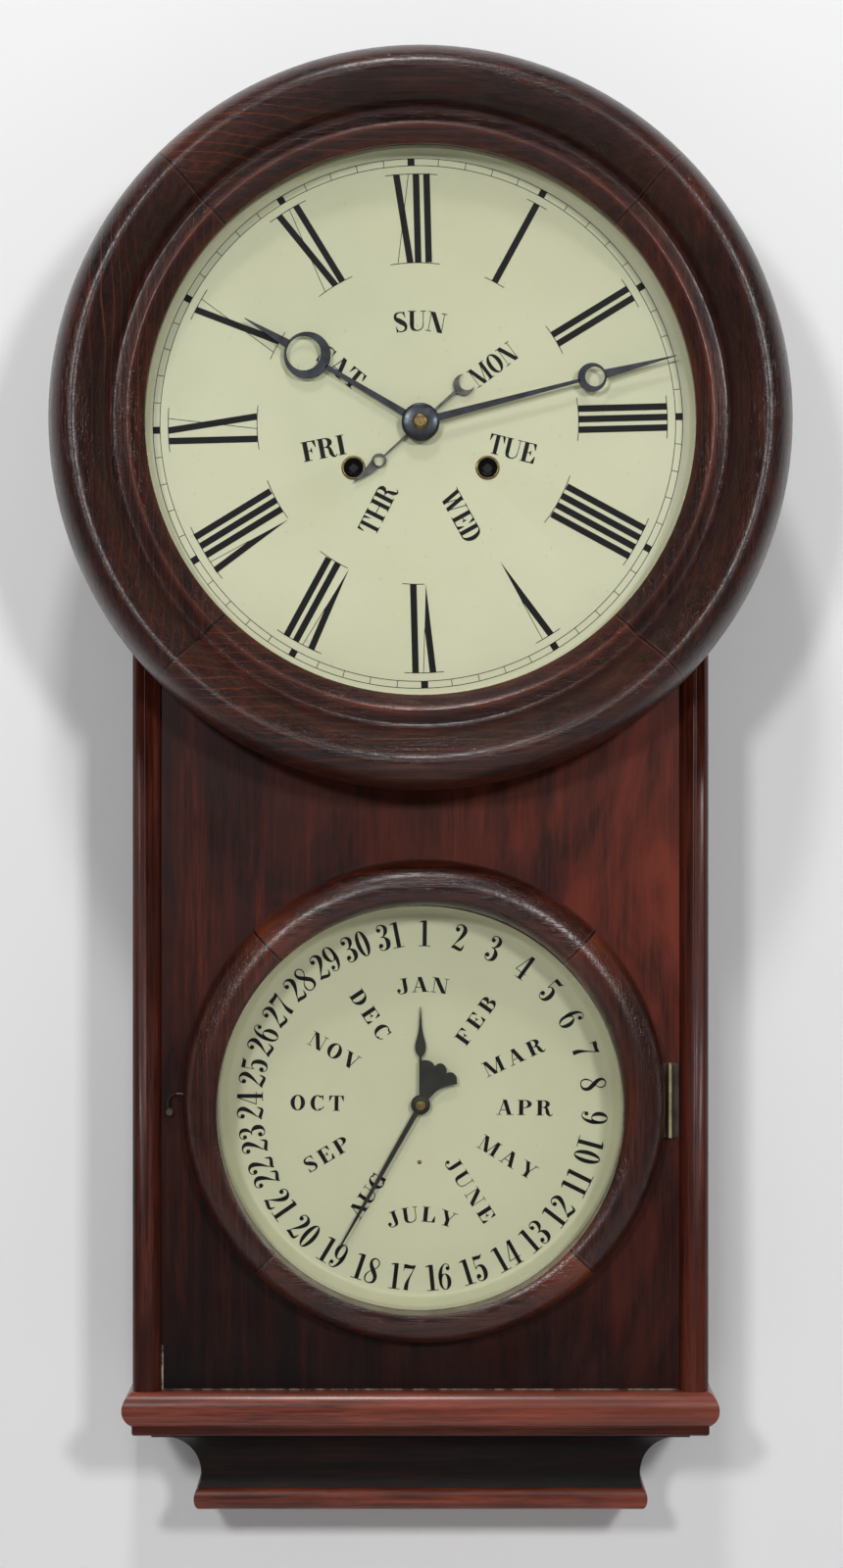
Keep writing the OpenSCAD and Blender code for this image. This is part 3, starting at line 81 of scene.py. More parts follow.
def shade(plain, factor):
    """A colour made darker or lighter."""
    return [min(1, c * factor) for c in plain]


def clock():
    """The sizes and colours in the sidebar."""
    return bpy.context.scene.calendar_clock


# Sizes and colours that a user would change


def length(name, text, value):
    return bpy.props.FloatProperty(name=name, description=text, default=value * MM, min=0.0,
                                   subtype="DISTANCE", unit="LENGTH", precision=4)


def colour(name, text, value):
    return bpy.props.FloatVectorProperty(name=name, description=text, default=srgb(*value), min=0.0, max=1.0,
                                         size=3, subtype="COLOR")


class ClockSettings(bpy.types.PropertyGroup):
    opening: length("Head opening", "Radius of the glazed opening in the head door", 151.2)
    ridge: length("Ridge", "Radius of the sharp ridge round the opening", 160.2)
    hollow: length("Hollow", "Radius where the big roll rises from the hollow", 171.0)
    head: length("Head ring", "Outside radius of the head door's ring", 203.6)
    calendar_opening: length("Calendar opening", "Radius of the glazed opening in the calendar door", 112.3)
    calendar_ring: length("Calendar ring", "Outside radius of the calendar door's ring", 134.0)
    numeral_low: length("Numeral foot", "Radius of the inner ends of the Roman numerals", 89.2)
    numeral_high: length("Numeral head", "Radius of the outer ends of the Roman numerals", 138.4)
    stroke: length("Numeral stroke", "Width of a thick stroke of a Roman numeral", 3.65)
    track: length("Minute track", "Radius of the inner line of the minute track", 143.0)
    track_width: length("Track width", "Distance between the two lines of the minute track", 3.9)
    dial_turn: bpy.props.FloatProperty(
        name="Dial turn", description="How far the time dial is turned on its screws",
        default=math.radians(1.5), subtype="ANGLE", unit="ROTATION")
    dial_paint: colour("Dial paint", "Aged paint of both dials", (210, 210, 180))
    # This colour paints the stains and also the painted shade towards each dial's dished edge
    dial_edge: colour("Dial edge", "Paint near the dished edge of a dial", (198, 198, 166))
    ring_dark: colour("Ring, dark", "Dark grain of both turned rings", (20, 9, 8))
    ring_red: colour("Ring, red", "Red-brown ground of both turned rings", (50, 22, 16))
    # This colour paints the worn and orange places and also the painted highlight along the rings' joints
    ring_flame: colour("Ring, flame", "Worn and orange places on both turned rings", (142, 66, 38))
    panel_dark: colour("Panel, dark", "Dark streaks of the front panel", (20, 9, 8))
    panel_red: colour("Panel, red", "Red figure of the front panel", (88, 33, 20))
    case_red: colour("Case, red", "Red-brown ground of the stiles and mouldings", (104, 46, 32))
    brass: colour("Brass", "Aged brass of hinges, collet and works", (166, 142, 92))


# Finishes


class Finish:
    """A material put together node by node."""

    def __init__(self, name):
        self.mat = bpy.data.materials.new(name)
        self.mat.use_nodes = True
        self.tree = self.mat.node_tree
        self.tree.nodes.clear()
        self.place = self.put("ShaderNodeTexCoord").outputs["Object"]

    def feed(self, socket, value):
        """Joins another node's output to a socket or sets the socket's own value."""
        if isinstance(value, bpy.types.NodeSocket):
            self.tree.links.new(value, socket)
        else:
            socket.default_value = (*tuple(value)[:3], 1) if socket.type == "RGBA" else value

    def put(self, kind, values=None, **props):
        """Adds a node, sets its options and feeds its sockets."""
        n = self.tree.nodes.new(kind)
        for key, value in props.items():
            setattr(n, key, value)
        for key, value in (values or {}).items():
            self.feed(n.inputs[key], value)
        return n

    def shift(self, scale=(1, 1, 1), location=(0, 0, 0), rotation=(0, 0, 0), vector=None):
        return self.put("ShaderNodeMapping", {"Vector": vector or self.place, "Scale": scale,
                                              "Location": location, "Rotation": rotation}).outputs[0]

    def noise(self, scale, detail=4.0, rough=0.55, distort=0.0, **place):
        """Cloudy values, finer with a greater scale: one number, or one for each axis."""
        if isinstance(scale, (int, float)):
            scale = (scale, scale, scale)
        values = {"Vector": self.shift(scale, **place), "Scale": 1.0, "Detail": detail, "Roughness": rough,
                  "Distortion": distort}
        return self.put("ShaderNodeTexNoise", values).outputs["Fac"]

    def sum(self, kind, a, b=0.0, clamp=False):
        """One step of arithmetic."""
        return self.put("ShaderNodeMath", {0: a, 1: b}, operation=kind, use_clamp=clamp).outputs[0]

    def times(self, a, b, clamp=False):
        return self.sum("MULTIPLY", a, b, clamp)

    def plus(self, a, b):
        return self.sum("ADD", a, b)

    def minus(self, a, b, clamp=False):
        return self.sum("SUBTRACT", a, b, clamp)

    def size(self, a):
        return self.sum("ABSOLUTE", a)

    def distance(self, x, z):
        """How far a point lies from the middle, seen from the front."""
        return self.sum("SQRT", self.plus(self.times(x, x), self.times(z, z)))

    def ramp(self, fac, stops):
        """Turns a value into the colours or numbers given at the stops."""
        n = self.put("ShaderNodeValToRGB", {"Fac": fac})
        band = n.color_ramp
        while len(band.elements) < len(stops):
            band.elements.new(0.5)
        for element, (place, value) in zip(band.elements, stops):
            element.position = place
            element.color = (value, value, value, 1) if isinstance(value, (int, float)) else (*value, 1)
        return n.outputs["Color"]

    def mix(self, fac, a, b, kind="MIX"):
        return self.put("ShaderNodeMix", {0: fac, 6: a, 7: b}, data_type="RGBA", blend_type=kind).outputs[2]

    def bump(self, height, strength, distance):
        """Small relief from a height, over a distance in mm."""
        return self.put("ShaderNodeBump", {"Height": height, "Strength": strength,
                                           "Distance": distance * MM}).outputs[0]

    def split(self, vector):
        """The three numbers of a vector."""
        return self.put("ShaderNodeSeparateXYZ", {"Vector": vector}).outputs

    def join(self, x, y, z):
        return self.put("ShaderNodeCombineXYZ", {"X": x, "Y": y, "Z": z}).outputs[0]

    def show(self, shader):
        """Joins a shader to the material's output."""
        out = self.tree.nodes.get("Material Output") or self.put("ShaderNodeOutputMaterial")
        self.tree.links.new(shader, out.inputs["Surface"])
        return self.mat

    def blend(self, fac, first, second):
        """Shows two shaders mixed."""
        return self.show(self.put("ShaderNodeMixShader", {0: fac, 1: first, 2: second}).outputs[0])

    def finish(self, **sockets):
        """Shows a painted, varnished or metal surface with the values or nodes given."""
        shader = self.put("ShaderNodeBsdfPrincipled")
        for key, value in sockets.items():
            self.feed(shader.inputs[key.replace("_", " ").title().replace("Ior", "IOR")], value)
        self.shader = shader.outputs[0]
        return self.show(self.shader)


def grain(w, vector, dark, ground, light, contrast):
    """Colour and pores of straight-grained wood. The grain runs along the vector's first number."""
    streak = w.noise((7, 95, 95), 6, 0.62, 0.9, vector=vector)
    broad = w.noise((3.2, 22, 22), 3, 0.5, 1.4, vector=vector)
    pores = w.noise((70, 1500, 1500), 2, 0.5, vector=vector)
    tone = w.plus(w.times(streak, 0.62), w.times(broad, 0.38))
    base = w.ramp(tone, [(0.5 - contrast * 0.28, dark), (0.5, ground), (0.5 + contrast * 0.3, light)])
    hairs = w.ramp(w.noise((16, 430, 430), 3, 0.7, vector=vector), [(0.36, 0.45), (0.64, 1.35)])
    base = w.mix(1.0, base, hairs, "MULTIPLY")
    pore = w.ramp(pores, [(0.34, 0.0), (0.46, 1.0)])
    base = w.mix(w.minus(1.0, w.times(w.minus(1.0, pore), 0.45)), (0, 0, 0), base)
    return base, pore, tone


# The mitred joints of the turned rings: half the width of the dark line and of the painted highlight beside
# it, in metres
JOINT, JOINT_HIGHLIGHT = 0.001, 0.0019
SOOT = (0.004, 0.002, 0.002)


def ring_wood(name, centre, bands, ground, rings, glow, gloss):
    """Four segments of dark wood with mitred joints, worn to orange along the bands given by radius."""
    s = clock()
    w = Finish(name)
    x, y, z = w.split(w.shift(location=-at(*centre, 0)))
    ax, az = w.size(x), w.size(z)
    upright = w.sum("GREATER_THAN", ax, az)
    level = w.minus(1.0, upright)
    along = w.plus(w.times(z, upright), w.times(x, level))
    across = w.plus(w.times(x, upright), w.times(z, level))
    side = w.sum("SIGN", across)
    # each segment's wood lies at its own place in the grain
    vector = w.join(w.plus(along, w.times(side, 0.83)), w.plus(across, upright), y)
    base, pore, tone = grain(w, vector, shade(s.ring_dark, 0.6), ground, shade(s.ring_flame, 0.3), 0.8)
    # fine orange figure, mostly on the left
    arches = w.put("ShaderNodeTexWave", {"Vector": w.shift((3.4, 62, 62), vector=vector), "Scale": 1.0,
                                         "Distortion": 9.0, "Detail": 3.0, "Detail Scale": 0.5},
                   wave_type="BANDS", bands_direction="Y", wave_profile="SAW").outputs["Fac"]
    lines = w.ramp(arches, [(0.84, 0.0), (0.99, 1.0)])
    where = w.ramp(w.noise((4, 16, 16), 4, location=(2, 5, 1), vector=vector), [(0.38, 0.0), (0.58, 1.0)])
    where = w.times(where, w.ramp(w.plus(w.times(x, -2.2), 0.35), [(0.1, 0.25), (0.7, 1.0)]))
    base = w.mix(w.times(w.times(lines, where), rings), base, s.ring_flame)
    # worn bands round the ring and worn ends of the segments
    radius = w.distance(x, z)
    patch = w.noise(9, 4, 0.6, 0.6, vector=vector)
    worn = 0.0
    for r, width, strength in bands:
        near = w.sum("DIVIDE", w.size(w.minus(radius, r * MM)), width * MM)
        worn = w.sum("MAXIMUM", worn, w.times(w.minus(1.0, near, clamp=True), strength))
    flame = w.times(worn, w.ramp(patch, [(0.36, 0.15), (0.62, 1.0)]))
    ends = w.ramp(w.sum("DIVIDE", w.size(along), w.sum("MAXIMUM", w.size(across), 0.01)),
                  [(0.5, 0.0), (0.97, 1.0)])
    ends = w.times(ends, w.ramp(w.noise((5, 14, 14), 2, vector=vector), [(0.4, 0.0), (0.62, glow)]))
    fire = w.mix(w.times(tone, 1.2, clamp=True), s.ring_red, s.ring_flame)
    base = w.mix(w.sum("MAXIMUM", flame, ends), base, fire)
    dull = w.ramp(w.noise(26, 5, 0.6), [(0.35, 0.62), (0.65, 1.0)])
    base = w.mix(1.0, base, dull, "MULTIPLY")
    # the joints lie where both distances from the middle are equal
    gap = w.size(w.minus(ax, az))
    joint = w.sum("LESS_THAN", gap, JOINT)
    # Painted highlight: a patchy orange line along each joint, where its edges would catch the light
    joint_highlight = w.times(w.sum("LESS_THAN", gap, JOINT_HIGHLIGHT), w.ramp(patch, [(0.4, 0.0), (0.62, 0.4)]))
    base = w.mix(joint_highlight, base, s.ring_flame)
    base = w.mix(w.times(upright, 0.15), base, SOOT)
    base = w.mix(w.times(joint, 0.95), base, SOOT)
    scratch = w.noise((900, 60, 60), 3, 0.7, rotation=(0, 0.5, 0.3))
    rough = w.ramp(w.noise(40, 4), [(0.3, 0.3), (0.7, 0.46)])
    crust = w.noise(620, 3, 0.65)
    height = w.plus(w.times(pore, 0.7), w.times(scratch, 0.4))
    height = w.minus(w.plus(height, crust), w.times(joint, 2.0))
    normal = w.bump(height, 0.6, 0.22)
    return w.finish(base_color=base, roughness=rough, normal=normal, coat_weight=gloss, coat_roughness=0.25,
                    coat_normal=normal, specular_ior_level=0.1)


def board_wood(name, upright, dark, ground, light, contrast, gloss, coat, figure=0.0):
    """Varnished board with its grain upright or sideways."""
    w = Finish(name)
    x, y, z = w.split(w.place)
    vector = w.join(z, x, y) if upright else w.join(x, y, z)
    base, pore = grain(w, vector, dark, ground, light, contrast)[:2]
    if figure:
        cloud = w.noise((3.0, 14, 14), 3, 0.5, 1.8, location=(0.37, 0.2, 0.1), vector=vector)
        base = w.mix(w.times(w.ramp(cloud, [(0.46, 0.0), (0.66, 1.0)]), figure), base, light)
    rough = w.ramp(w.noise(30, 4), [(0.3, gloss - 0.06), (0.7, gloss + 0.12)])
    return w.finish(base_color=base, roughness=rough, normal=w.bump(pore, 0.3, 0.12), coat_weight=coat,
                    coat_roughness=0.24, specular_ior_level=0.15)


def panel_wood():
    """The front panel: dark upright streaks on the left, red feathered figure towards the right, and painted
    shade towards its foot.
    """
    s = clock()
    w = Finish("panel_veneer")
    x, y, z = w.split(w.place)
    base, pore, tone = grain(w, w.join(z, x, y), shade(s.panel_dark, 0.6), shade(s.panel_red, 0.45),
                             s.panel_red, 0.8)
    soot = w.ramp(w.noise(1, 5, 0.6, 0.6, vector=w.join(w.times(z, 6.0), w.times(x, 60.0), 0.9)),
                  [(0.42, 0.0), (0.6, 1.0)])
    left = w.ramp(w.plus(w.times(x, -3.4), 0.45), [(0.2, 0.1), (0.75, 0.85)])
    base = w.mix(w.times(soot, left), base, s.panel_dark)
    swirl = w.noise(1, 4, 0.55, 2.2, vector=w.join(w.times(z, 7.0), w.times(x, 22.0), 0.4))
    right = w.ramp(w.plus(w.times(x, 3.4), 0.42), [(0.1, 0.12), (0.8, 0.85)])
    amount = w.times(w.ramp(swirl, [(0.38, 0.0), (0.64, 1.0)]), right)
    base = w.mix(amount, base, w.mix(tone, s.panel_red, shade(s.panel_red, 1.9)))
    # Painted shade: the panel darkens strongly towards its foot
    lower = w.ramp(w.plus(w.times(z, 3.4), 2.2), [(0.05, 0.14), (0.9, 1.0)])
    base = w.mix(1.0, base, lower, "MULTIPLY")
    rough = w.ramp(w.noise(24, 5, 0.6), [(0.3, 0.34), (0.7, 0.52)])
    return w.finish(base_color=base, roughness=rough, normal=w.bump(pore, 0.3, 0.1), coat_weight=0.05,
                    coat_roughness=0.3, specular_ior_level=0.15)


def dial_paint(name, centre, flat):
    """Aged cream paint on metal with faint stains and specks, and painted shade that makes it darker and
    greener towards the dished edge.
    """
    s = clock()
    w = Finish(name)
    x, _, z = w.split(w.shift(location=-at(*centre, 0)))
    radius = w.distance(x, z)
    # Painted shade: the paint darkens towards the dished edge, under the ring's lip
    rim_shade = w.ramp(w.times(w.minus(radius, (flat - 14) * MM), 1 / (26 * MM)),
                 [(0.0, 0.0), (0.55, 0.25), (1.0, 1.0)])
    stain = w.ramp(w.noise(16, 5, 0.6), [(0.35, 0.0), (0.75, 0.5)])
    base = w.mix(w.sum("MAXIMUM", rim_shade, stain), s.dial_paint, s.dial_edge)
    warm = w.ramp(w.noise(7, 3, location=(3, 1, 2)), [(0.4, 0.0), (0.75, 0.35)])
    base = w.mix(warm, base, srgb(222, 214, 186))
    speck = w.ramp(w.noise(420, 1, 0.4), [(0.235, 1.0), (0.26, 0.0)])
    base = w.mix(w.times(speck, 0.25), base, srgb(150, 146, 112))
    ripple = w.noise(130, 3, 0.5)
    return w.finish(base_color=base, roughness=w.ramp(stain, [(0.0, 0.42), (1.0, 0.56)]),
                    normal=w.bump(ripple, 0.06, 0.3), coat_weight=0.12, coat_roughness=0.3)


def metal(name, base, dirt, rough, amount, metallic, scale):
    """Metal with brushed marks and patches of tarnish."""
    w = Finish(name)
    patch = w.noise(scale, 6, 0.62)
    tint = w.mix(w.ramp(patch, [(0.38, 0.0), (0.68, amount)]), base, dirt)
    fine = w.noise((scale * 30, scale * 4, scale * 30), 2, 0.6)
    value = w.ramp(patch, [(0.3, rough - 0.08), (0.7, rough + 0.16)])
    return w.finish(base_color=tint, metallic=metallic, roughness=value, normal=w.bump(fine, 0.12, 0.04))


def hinge_brass():
    """Brass with a painted highlight down the front of both hinges' barrels, and dark on their leaves."""
    w = Finish("hinge_brass")
    x, _, z = w.split(w.place)
    patch = w.noise(90, 5, 0.6)
    painted_highlight = 0.0
    # Painted highlight: bright brass only in a narrow stripe down the middle of each barrel
    for axis, low, high in ((CALENDAR_HINGE, -600, -300), (HEAD_HINGE, -200, 200)):
        near = w.sum("LESS_THAN", w.size(w.minus(x, axis * MM)), BARREL_HIGHLIGHT * MM)
        above = w.sum("GREATER_THAN", z, (low - DROP) * MM)
        below = w.sum("LESS_THAN", z, (high - DROP) * MM)
        painted_highlight = w.sum("MAXIMUM", painted_highlight, w.times(near, w.times(above, below)))
    highlight_brass = w.ramp(patch, [(0.3, srgb(126, 116, 80)), (0.7, srgb(178, 170, 132))])
    dull = w.ramp(patch, [(0.3, srgb(30, 20, 15)), (0.7, srgb(58, 42, 30))])
    return w.finish(base_color=w.mix(painted_highlight, dull, highlight_brass), metallic=w.times(painted_highlight, 0.7),
                    roughness=w.ramp(patch, [(0.3, 0.3), (0.7, 0.45)]), normal=w.bump(patch, 0.1, 0.05))


def black_print():
    """Black paint of the figures, a little rubbed."""
    w = Finish("black_print")
    worn = w.noise(260, 4, 0.6)
    base = w.ramp(worn, [(0.3, srgb(6, 6, 8)), (0.72, srgb(20, 21, 23))])
    return w.finish(base_color=base, roughness=w.ramp(worn, [(0.3, 0.4), (0.7, 0.55)]),
                    specular_ior_level=0.12)


def clear_glass():
    """Thin old window glass: nearly all light goes straight through, with a slight wave."""
    w = Finish("old_glass")
    wave = w.noise(14, 2, 0.5)
    gloss = w.put("ShaderNodeBsdfGlossy", {"Roughness": 0.03, "Color": (1, 1, 1, 1),
                                           "Normal": w.bump(wave, 0.08, 1.0)})
    through = w.put("ShaderNodeBsdfTransparent", {"Color": (0.975, 0.982, 0.97, 1)})
    edge = w.put("ShaderNodeFresnel", {"IOR": 1.45})
    return w.blend(w.times(edge.outputs[0], 0.55), through.outputs[0], gloss.outputs[0])


# Making pieces


def pick(*pieces):
    """Selects only these pieces and makes the first one active."""
    bpy.ops.object.select_all(action="DESELECT")
    for piece in pieces:
        piece.select_set(True)
    if pieces:
        bpy.context.view_layer.objects.active = pieces[0]


def named(name):
    """Names the active piece and its mesh."""
    piece = bpy.context.object
    piece.name = piece.data.name = name
    return piece


def edit():
    """Enters edit mode with the whole piece selected."""
    bpy.ops.object.mode_set(mode="EDIT")
    everything()


def everything():
    """Selects the whole piece in edit mode."""
    bpy.ops.mesh.select_all(action="SELECT")


def leave():
    """Goes back to object mode."""
    bpy.ops.object.mode_set(mode="OBJECT")


def apply(piece, kind, **values):
    """Puts a modifier on the piece and applies it."""
    m = piece.modifiers.new("step", kind)
    for key, value in values.items():
        setattr(m, key, value)
    bpy.ops.object.modifier_apply(modifier=m.name)


def arc(x, y, rx, ry, start, end, steps, first=1):
    """Points along an oval between two angles. The first one is left out unless first is 0."""
    angles = [math.radians(start + (end - start) * i / steps) for i in range(first, steps + 1)]
    return [(x + rx * math.cos(a), y + ry * math.sin(a)) for a in angles]


def pulled(name, points, closed=False):
    """One vertex is pulled along the points. A closed line is filled with a face."""
    pick()
    bpy.ops.mesh.primitive_plane_add(size=0.002, location=points[0])
    piece = named(name)
    bpy.ops.object.transform_apply(location=True, rotation=True, scale=True)
    edit()
    bpy.ops.mesh.merge(type="CENTER")
    for last, p in zip(points, points[1:]):
        bpy.ops.mesh.extrude_region_move(TRANSFORM_OT_translate={"value": p - last})
    everything()
    if closed:
        bpy.ops.mesh.edge_face_add()
    return piece


def close_up(piece, angle=32.0):
    """Ends edit mode: doubles merged, faces outwards, soft shading under the angle."""
    everything()
    bpy.ops.mesh.remove_doubles(threshold=0.000002)
    bpy.ops.mesh.normals_make_consistent(inside=False)
    leave()
    pick(piece)
    bpy.ops.object.shade_smooth_by_angle(angle=math.radians(angle))
    return piece


def turned(name, centre, f, profile, steps=96, angle=32.0):
    """A profile of radius and height in mm, spun about the line through the centre towards the viewer."""
    piece = pulled(name, [at(centre[0] + r, centre[1], f + h) for r, h in (*profile, profile[0])])
    bpy.ops.mesh.spin(steps=steps, angle=2 * math.pi, center=at(*centre, 0), axis=(0, 1, 0))
    return close_up(piece, angle)


def thickened(piece, bevel, thick=1.0):
    """Gives a flat face its thickness towards the viewer and eases its edges."""
    everything()
    bpy.ops.mesh.extrude_region_move(TRANSFORM_OT_translate={"value": (0, -thick * MM, 0)})
    close_up(piece)
    ease(piece, bevel)
    return piece


def plate(name, outline, f, bevel, thick=1.0):
    """A flat outline in mm, filled and given its thickness towards the viewer."""
    return thickened(pulled(name, [at(x, u, f) for x, u in outline], closed=True), bevel, thick)


def bored(piece, centre, radius, low, high, steps):
    """Cuts a round hole through the piece between two heights."""
    pick()
    bpy.ops.mesh.primitive_cylinder_add(vertices=steps, radius=radius * MM, depth=(high - low) * MM,
                                        location=at(*centre, (low + high) / 2), rotation=FACING)
    cutter = bpy.context.object
    pick(piece)
    apply(piece, "BOOLEAN", operation="DIFFERENCE", object=cutter, solver="EXACT")
    bpy.data.objects.remove(cutter)


def ease(piece, width, angle=40.0):
    """Rounds the sharp edges a little."""
    pick(piece)
    apply(piece, "BEVEL", width=width * MM, segments=2, limit_method="ANGLE",
          angle_limit=math.radians(angle), use_clamp_overlap=True)
    bpy.ops.object.shade_smooth_by_angle(angle=math.radians(35))


def together(name, pieces):
    """Several shells made one piece."""
    pick(*pieces)
    bpy.ops.object.join()
    return named(name)


def settle(piece, body, slot, finish, *nodes):
    """Gives a piece its finish and its body, and hides the CAD nodes that it stands for. The slot is not
    used.
    """
    piece.data.materials.clear()
    piece.data.materials.append(finishes()[finish] if isinstance(finish, str) else finish)
    for p in piece.data.polygons:
        p.material_index = 0
    if nodes:
        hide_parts(*nodes)
    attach(piece, body)
    return piece


def eased_copy(node, name, width, finish, body, slot):
    """Stands in for a CAD node: its triangles merged, its edges rounded by a width and its curves smooth."""
    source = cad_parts[node]
    piece = source.copy()
    piece.data = source.data.copy()
    bpy.context.scene.collection.objects.link(piece)
    piece.parent = None
    piece.matrix_world = Matrix.Identity(4)
    pick(piece)
    named(name)
    edit()
    bpy.ops.mesh.remove_doubles(threshold=0.000005)
    bpy.ops.mesh.dissolve_limited(angle_limit=math.radians(0.6))
    leave()
    bpy.ops.object.shade_smooth_by_angle(angle=math.radians(32))
    if width:
        ease(piece, width)
    settle(piece, body, slot, finish, node)


# Painted letters and figures. A glyph is a width and faces, in hundredths of its own height.

THICK = 27.5
HAIR = 5.5
SERIF = 4


def bar(x0, y0, x1, y1):
    """One upright rectangle between two corners."""
    return [[(x0, y0), (x1, y0), (x1, y1), (x0, y1)]]


def slant(xa, ya, xb, yb, w):
    """A leaning stroke from its head to its foot, w wide."""
    return [[(xb - w / 2, yb), (xb + w / 2, yb), (xa + w / 2, ya), (xa - w / 2, ya)]]


def strip(left, right):
    """Four-sided faces between two lines of as many points."""
    return [[left[i], left[i + 1], right[i + 1], right[i]] for i in range(len(left) - 1)]


def bow(cx, cy, rx, ry, thick=THICK, thin=HAIR, a0=-90, a1=90):
    """The right half of an oval stroke or, with two angles, another part. It is thin at top and bottom."""
    return strip(arc(cx, cy, rx, ry, a0, a1, 20, 0), arc(cx, cy, rx - thick, ry - thin, a0, a1, 20, 0))


def curl(*stops):
    """A curved stroke through stops of place and width, with its sides smoothly bent between them."""
    steps, line = 5, []
    pts = [stops[0], *stops, stops[-1]]
    for i in range(1, len(pts) - 2):
        a, b, c, d = pts[i - 1:i + 3]
        for j in range(steps + (i == len(pts) - 3)):
            t = j / steps
            line.append([0.5 * (2 * b[k] + (c[k] - a[k]) * t + (2 * a[k] - 5 * b[k] + 4 * c[k] - d[k]) * t * t
                                + (3 * b[k] - a[k] - 3 * c[k] + d[k]) * t ** 3) for k in range(3)])
    left, right = [], []
    for i, (x, y, w) in enumerate(line):
        q, r = line[max(i - 1, 0)], line[min(i + 1, len(line) - 1)]
        dx, dy = r[0] - q[0], r[1] - q[1]
        n = math.hypot(dx, dy) or 1.0
        left.append((x - dy / n * w / 2, y + dx / n * w / 2))
        right.append((x + dy / n * w / 2, y - dx / n * w / 2))
    return strip(left, right)


def ball(x, y, r):
    """The round end of a figure's thin stroke."""
    return [[(x + r * math.cos(math.radians(a)), y + r * math.sin(math.radians(a)))
             for a in range(0, 360, 24)]]


def foot(x0, x1):
    """The serif at a letter's foot."""
    return bar(x0, 0, x1, SERIF)


def head(x0, x1):
    """The serif at a letter's head."""
    return bar(x0, 100 - SERIF, x1, 100)


def top(x0, x1):
    """A letter's thin top arm."""
    return bar(x0, 95.5, x1, 100)


def stem(x, right=10):
    """A thick upright with a serif at its foot and its head, running on to the right."""
    return bar(x, 0, x + THICK, 100) + foot(x - 10, x + THICK + right) + head(x - 10, x + THICK + right)


def beak(x, y, dx, dy):
    """The wedge at the end of a thin arm."""
    return [[(x, y), (x, y + dy), (x - dx * 0.18, y + dy), (x - dx, y)]]


def letters():
    """Bold capitals with hair-thin arms."""
    h = HAIR
    lower = bow(50, 50, 47, 52, a0=48, a1=180) + bow(50, 50, 47, 52, a0=180, a1=312)
    return {
        "A": (113, slant(54, 100, 86, 0, 27) + slant(51, 100, 16, 0, h) + bar(26, 30, 78, 34.5) + foot(0, 33)
            + foot(66, 113)),
        "B": (98, stem(10, right=20) + bow(50, 75.5, 36, 24.5) + bow(53, 26.5, 42, 26.5) + top(35, 52)
            + bar(35, 51, 55, 55) + bar(35, 0, 55, h)),
        "C": (92, lower + beak(88, 100, 13, -34) + curl((78, 10, h), (87, 20, h), (90, 30, h))),
        "D": (98, stem(10, right=15) + bow(46, 50, 50, 50) + top(35, 48) + bar(35, 0, 48, h)),
        "E": (92, stem(10, right=30) + top(35, 85) + bar(35, 0, 90, h) + bar(35, 48.5, 60, 52.5)
            + beak(86, 100, 22, -34) + beak(91, 0, 25, 36) + [[(48, 50), (62, 36), (62, 65)]]),
        "F": (88, stem(10, right=15) + top(35, 84) + bar(35, 48.5, 58, 52.5) + beak(85, 100, 22, -36)
            + [[(46, 50), (60, 35), (60, 66)]]),
        "G": (105, lower + beak(88, 100, 13, -34) + bar(72, 5, 96, 43) + bar(60, 40, 105, 44)),
        "H": (120, stem(10) + stem(85) + bar(30, 48, 90, 52.5)),
        "I": (46, stem(10)),
        "J": (86, bar(50, 30, 75, 100) + head(36, 86) + ball(17, 24, 12)
            + curl((62.5, 34, 25), (60, 12, 20), (44, 2, 7), (24, 2, h), (9, 14, 5))),
        "L": (90, stem(10, right=12) + bar(35, 0, 86, h) + beak(88, 0, 24, 42)),
        "M": (140, bar(15, 0, 19, 100) + slant(25, 100, 67, 0, 27) + slant(110, 100, 70, 0, h)
            + bar(103, 0, 128, 100) + foot(0, 34) + foot(92, 140) + head(0, 35) + head(103, 140)),
        "N": (114, bar(15, 0, 19, 100) + slant(25, 100, 86, 0, 30) + bar(93, 0, 97, 100) + foot(0, 34)
            + head(0, 30) + head(78, 112)),
        "O": (96, bow(48, 50, 48, 52) + bow(48, 50, 48, 52, a0=90, a1=270)),
        "P": (96, stem(10, right=12) + bow(50, 73.5, 43, 26.5) + top(35, 52) + bar(35, 47, 52, 51.5)),
        "R": (110, stem(10) + bow(50, 75.5, 40, 24.5) + top(35, 52) + bar(35, 51, 52, 55)
            + curl((48, 53, h), (68, 46, 16), (75, 20, 24), (86, 3, 14), (100, 1, 6), (109, 12, 3))),
        "S": (78, curl((68, 72, 3), (60, 93, h), (38, 98.5, 6), (16, 90, 13), (14, 70, 20), (38, 53, 27),
            (62, 34, 22), (62, 12, 13), (40, 1.5, 6), (18, 7, h), (9, 28, 3)) + beak(70, 100, 9, -34)
            + beak(7, 0, -9, 34)),
        "T": (100, bar(37.5, 0, 62.5, 100) + top(3, 97) + foot(26, 74) + beak(98, 100, 20, -36)
            + beak(2, 100, -20, -36)),
        "U": (106, bar(10, 30, 35, 100) + head(0, 46) + bar(87, 35, 91.5, 100) + head(73, 106)
            + curl((22.5, 34, 25), (26, 13, 20), (44, 2, 8), (66, 3, h), (84, 16, h), (89.3, 38, h))),
        "V": (110, slant(26, 100, 60, 0, 28) + slant(92, 100, 62, 0, h) + head(0, 50) + head(76, 110)),
        "W": (150, slant(25, 100, 50, 0, 26) + slant(78, 100, 53, 0, h) + slant(75, 100, 100, 0, 26)
            + slant(132, 100, 103, 0, h) + head(0, 97) + head(116, 150)),
        "Y": (112, slant(26, 100, 58, 42, 27) + slant(94, 100, 66, 44, h) + bar(46, 0, 71, 47) + foot(34, 83)
            + head(0, 48) + head(78, 112)),
    }


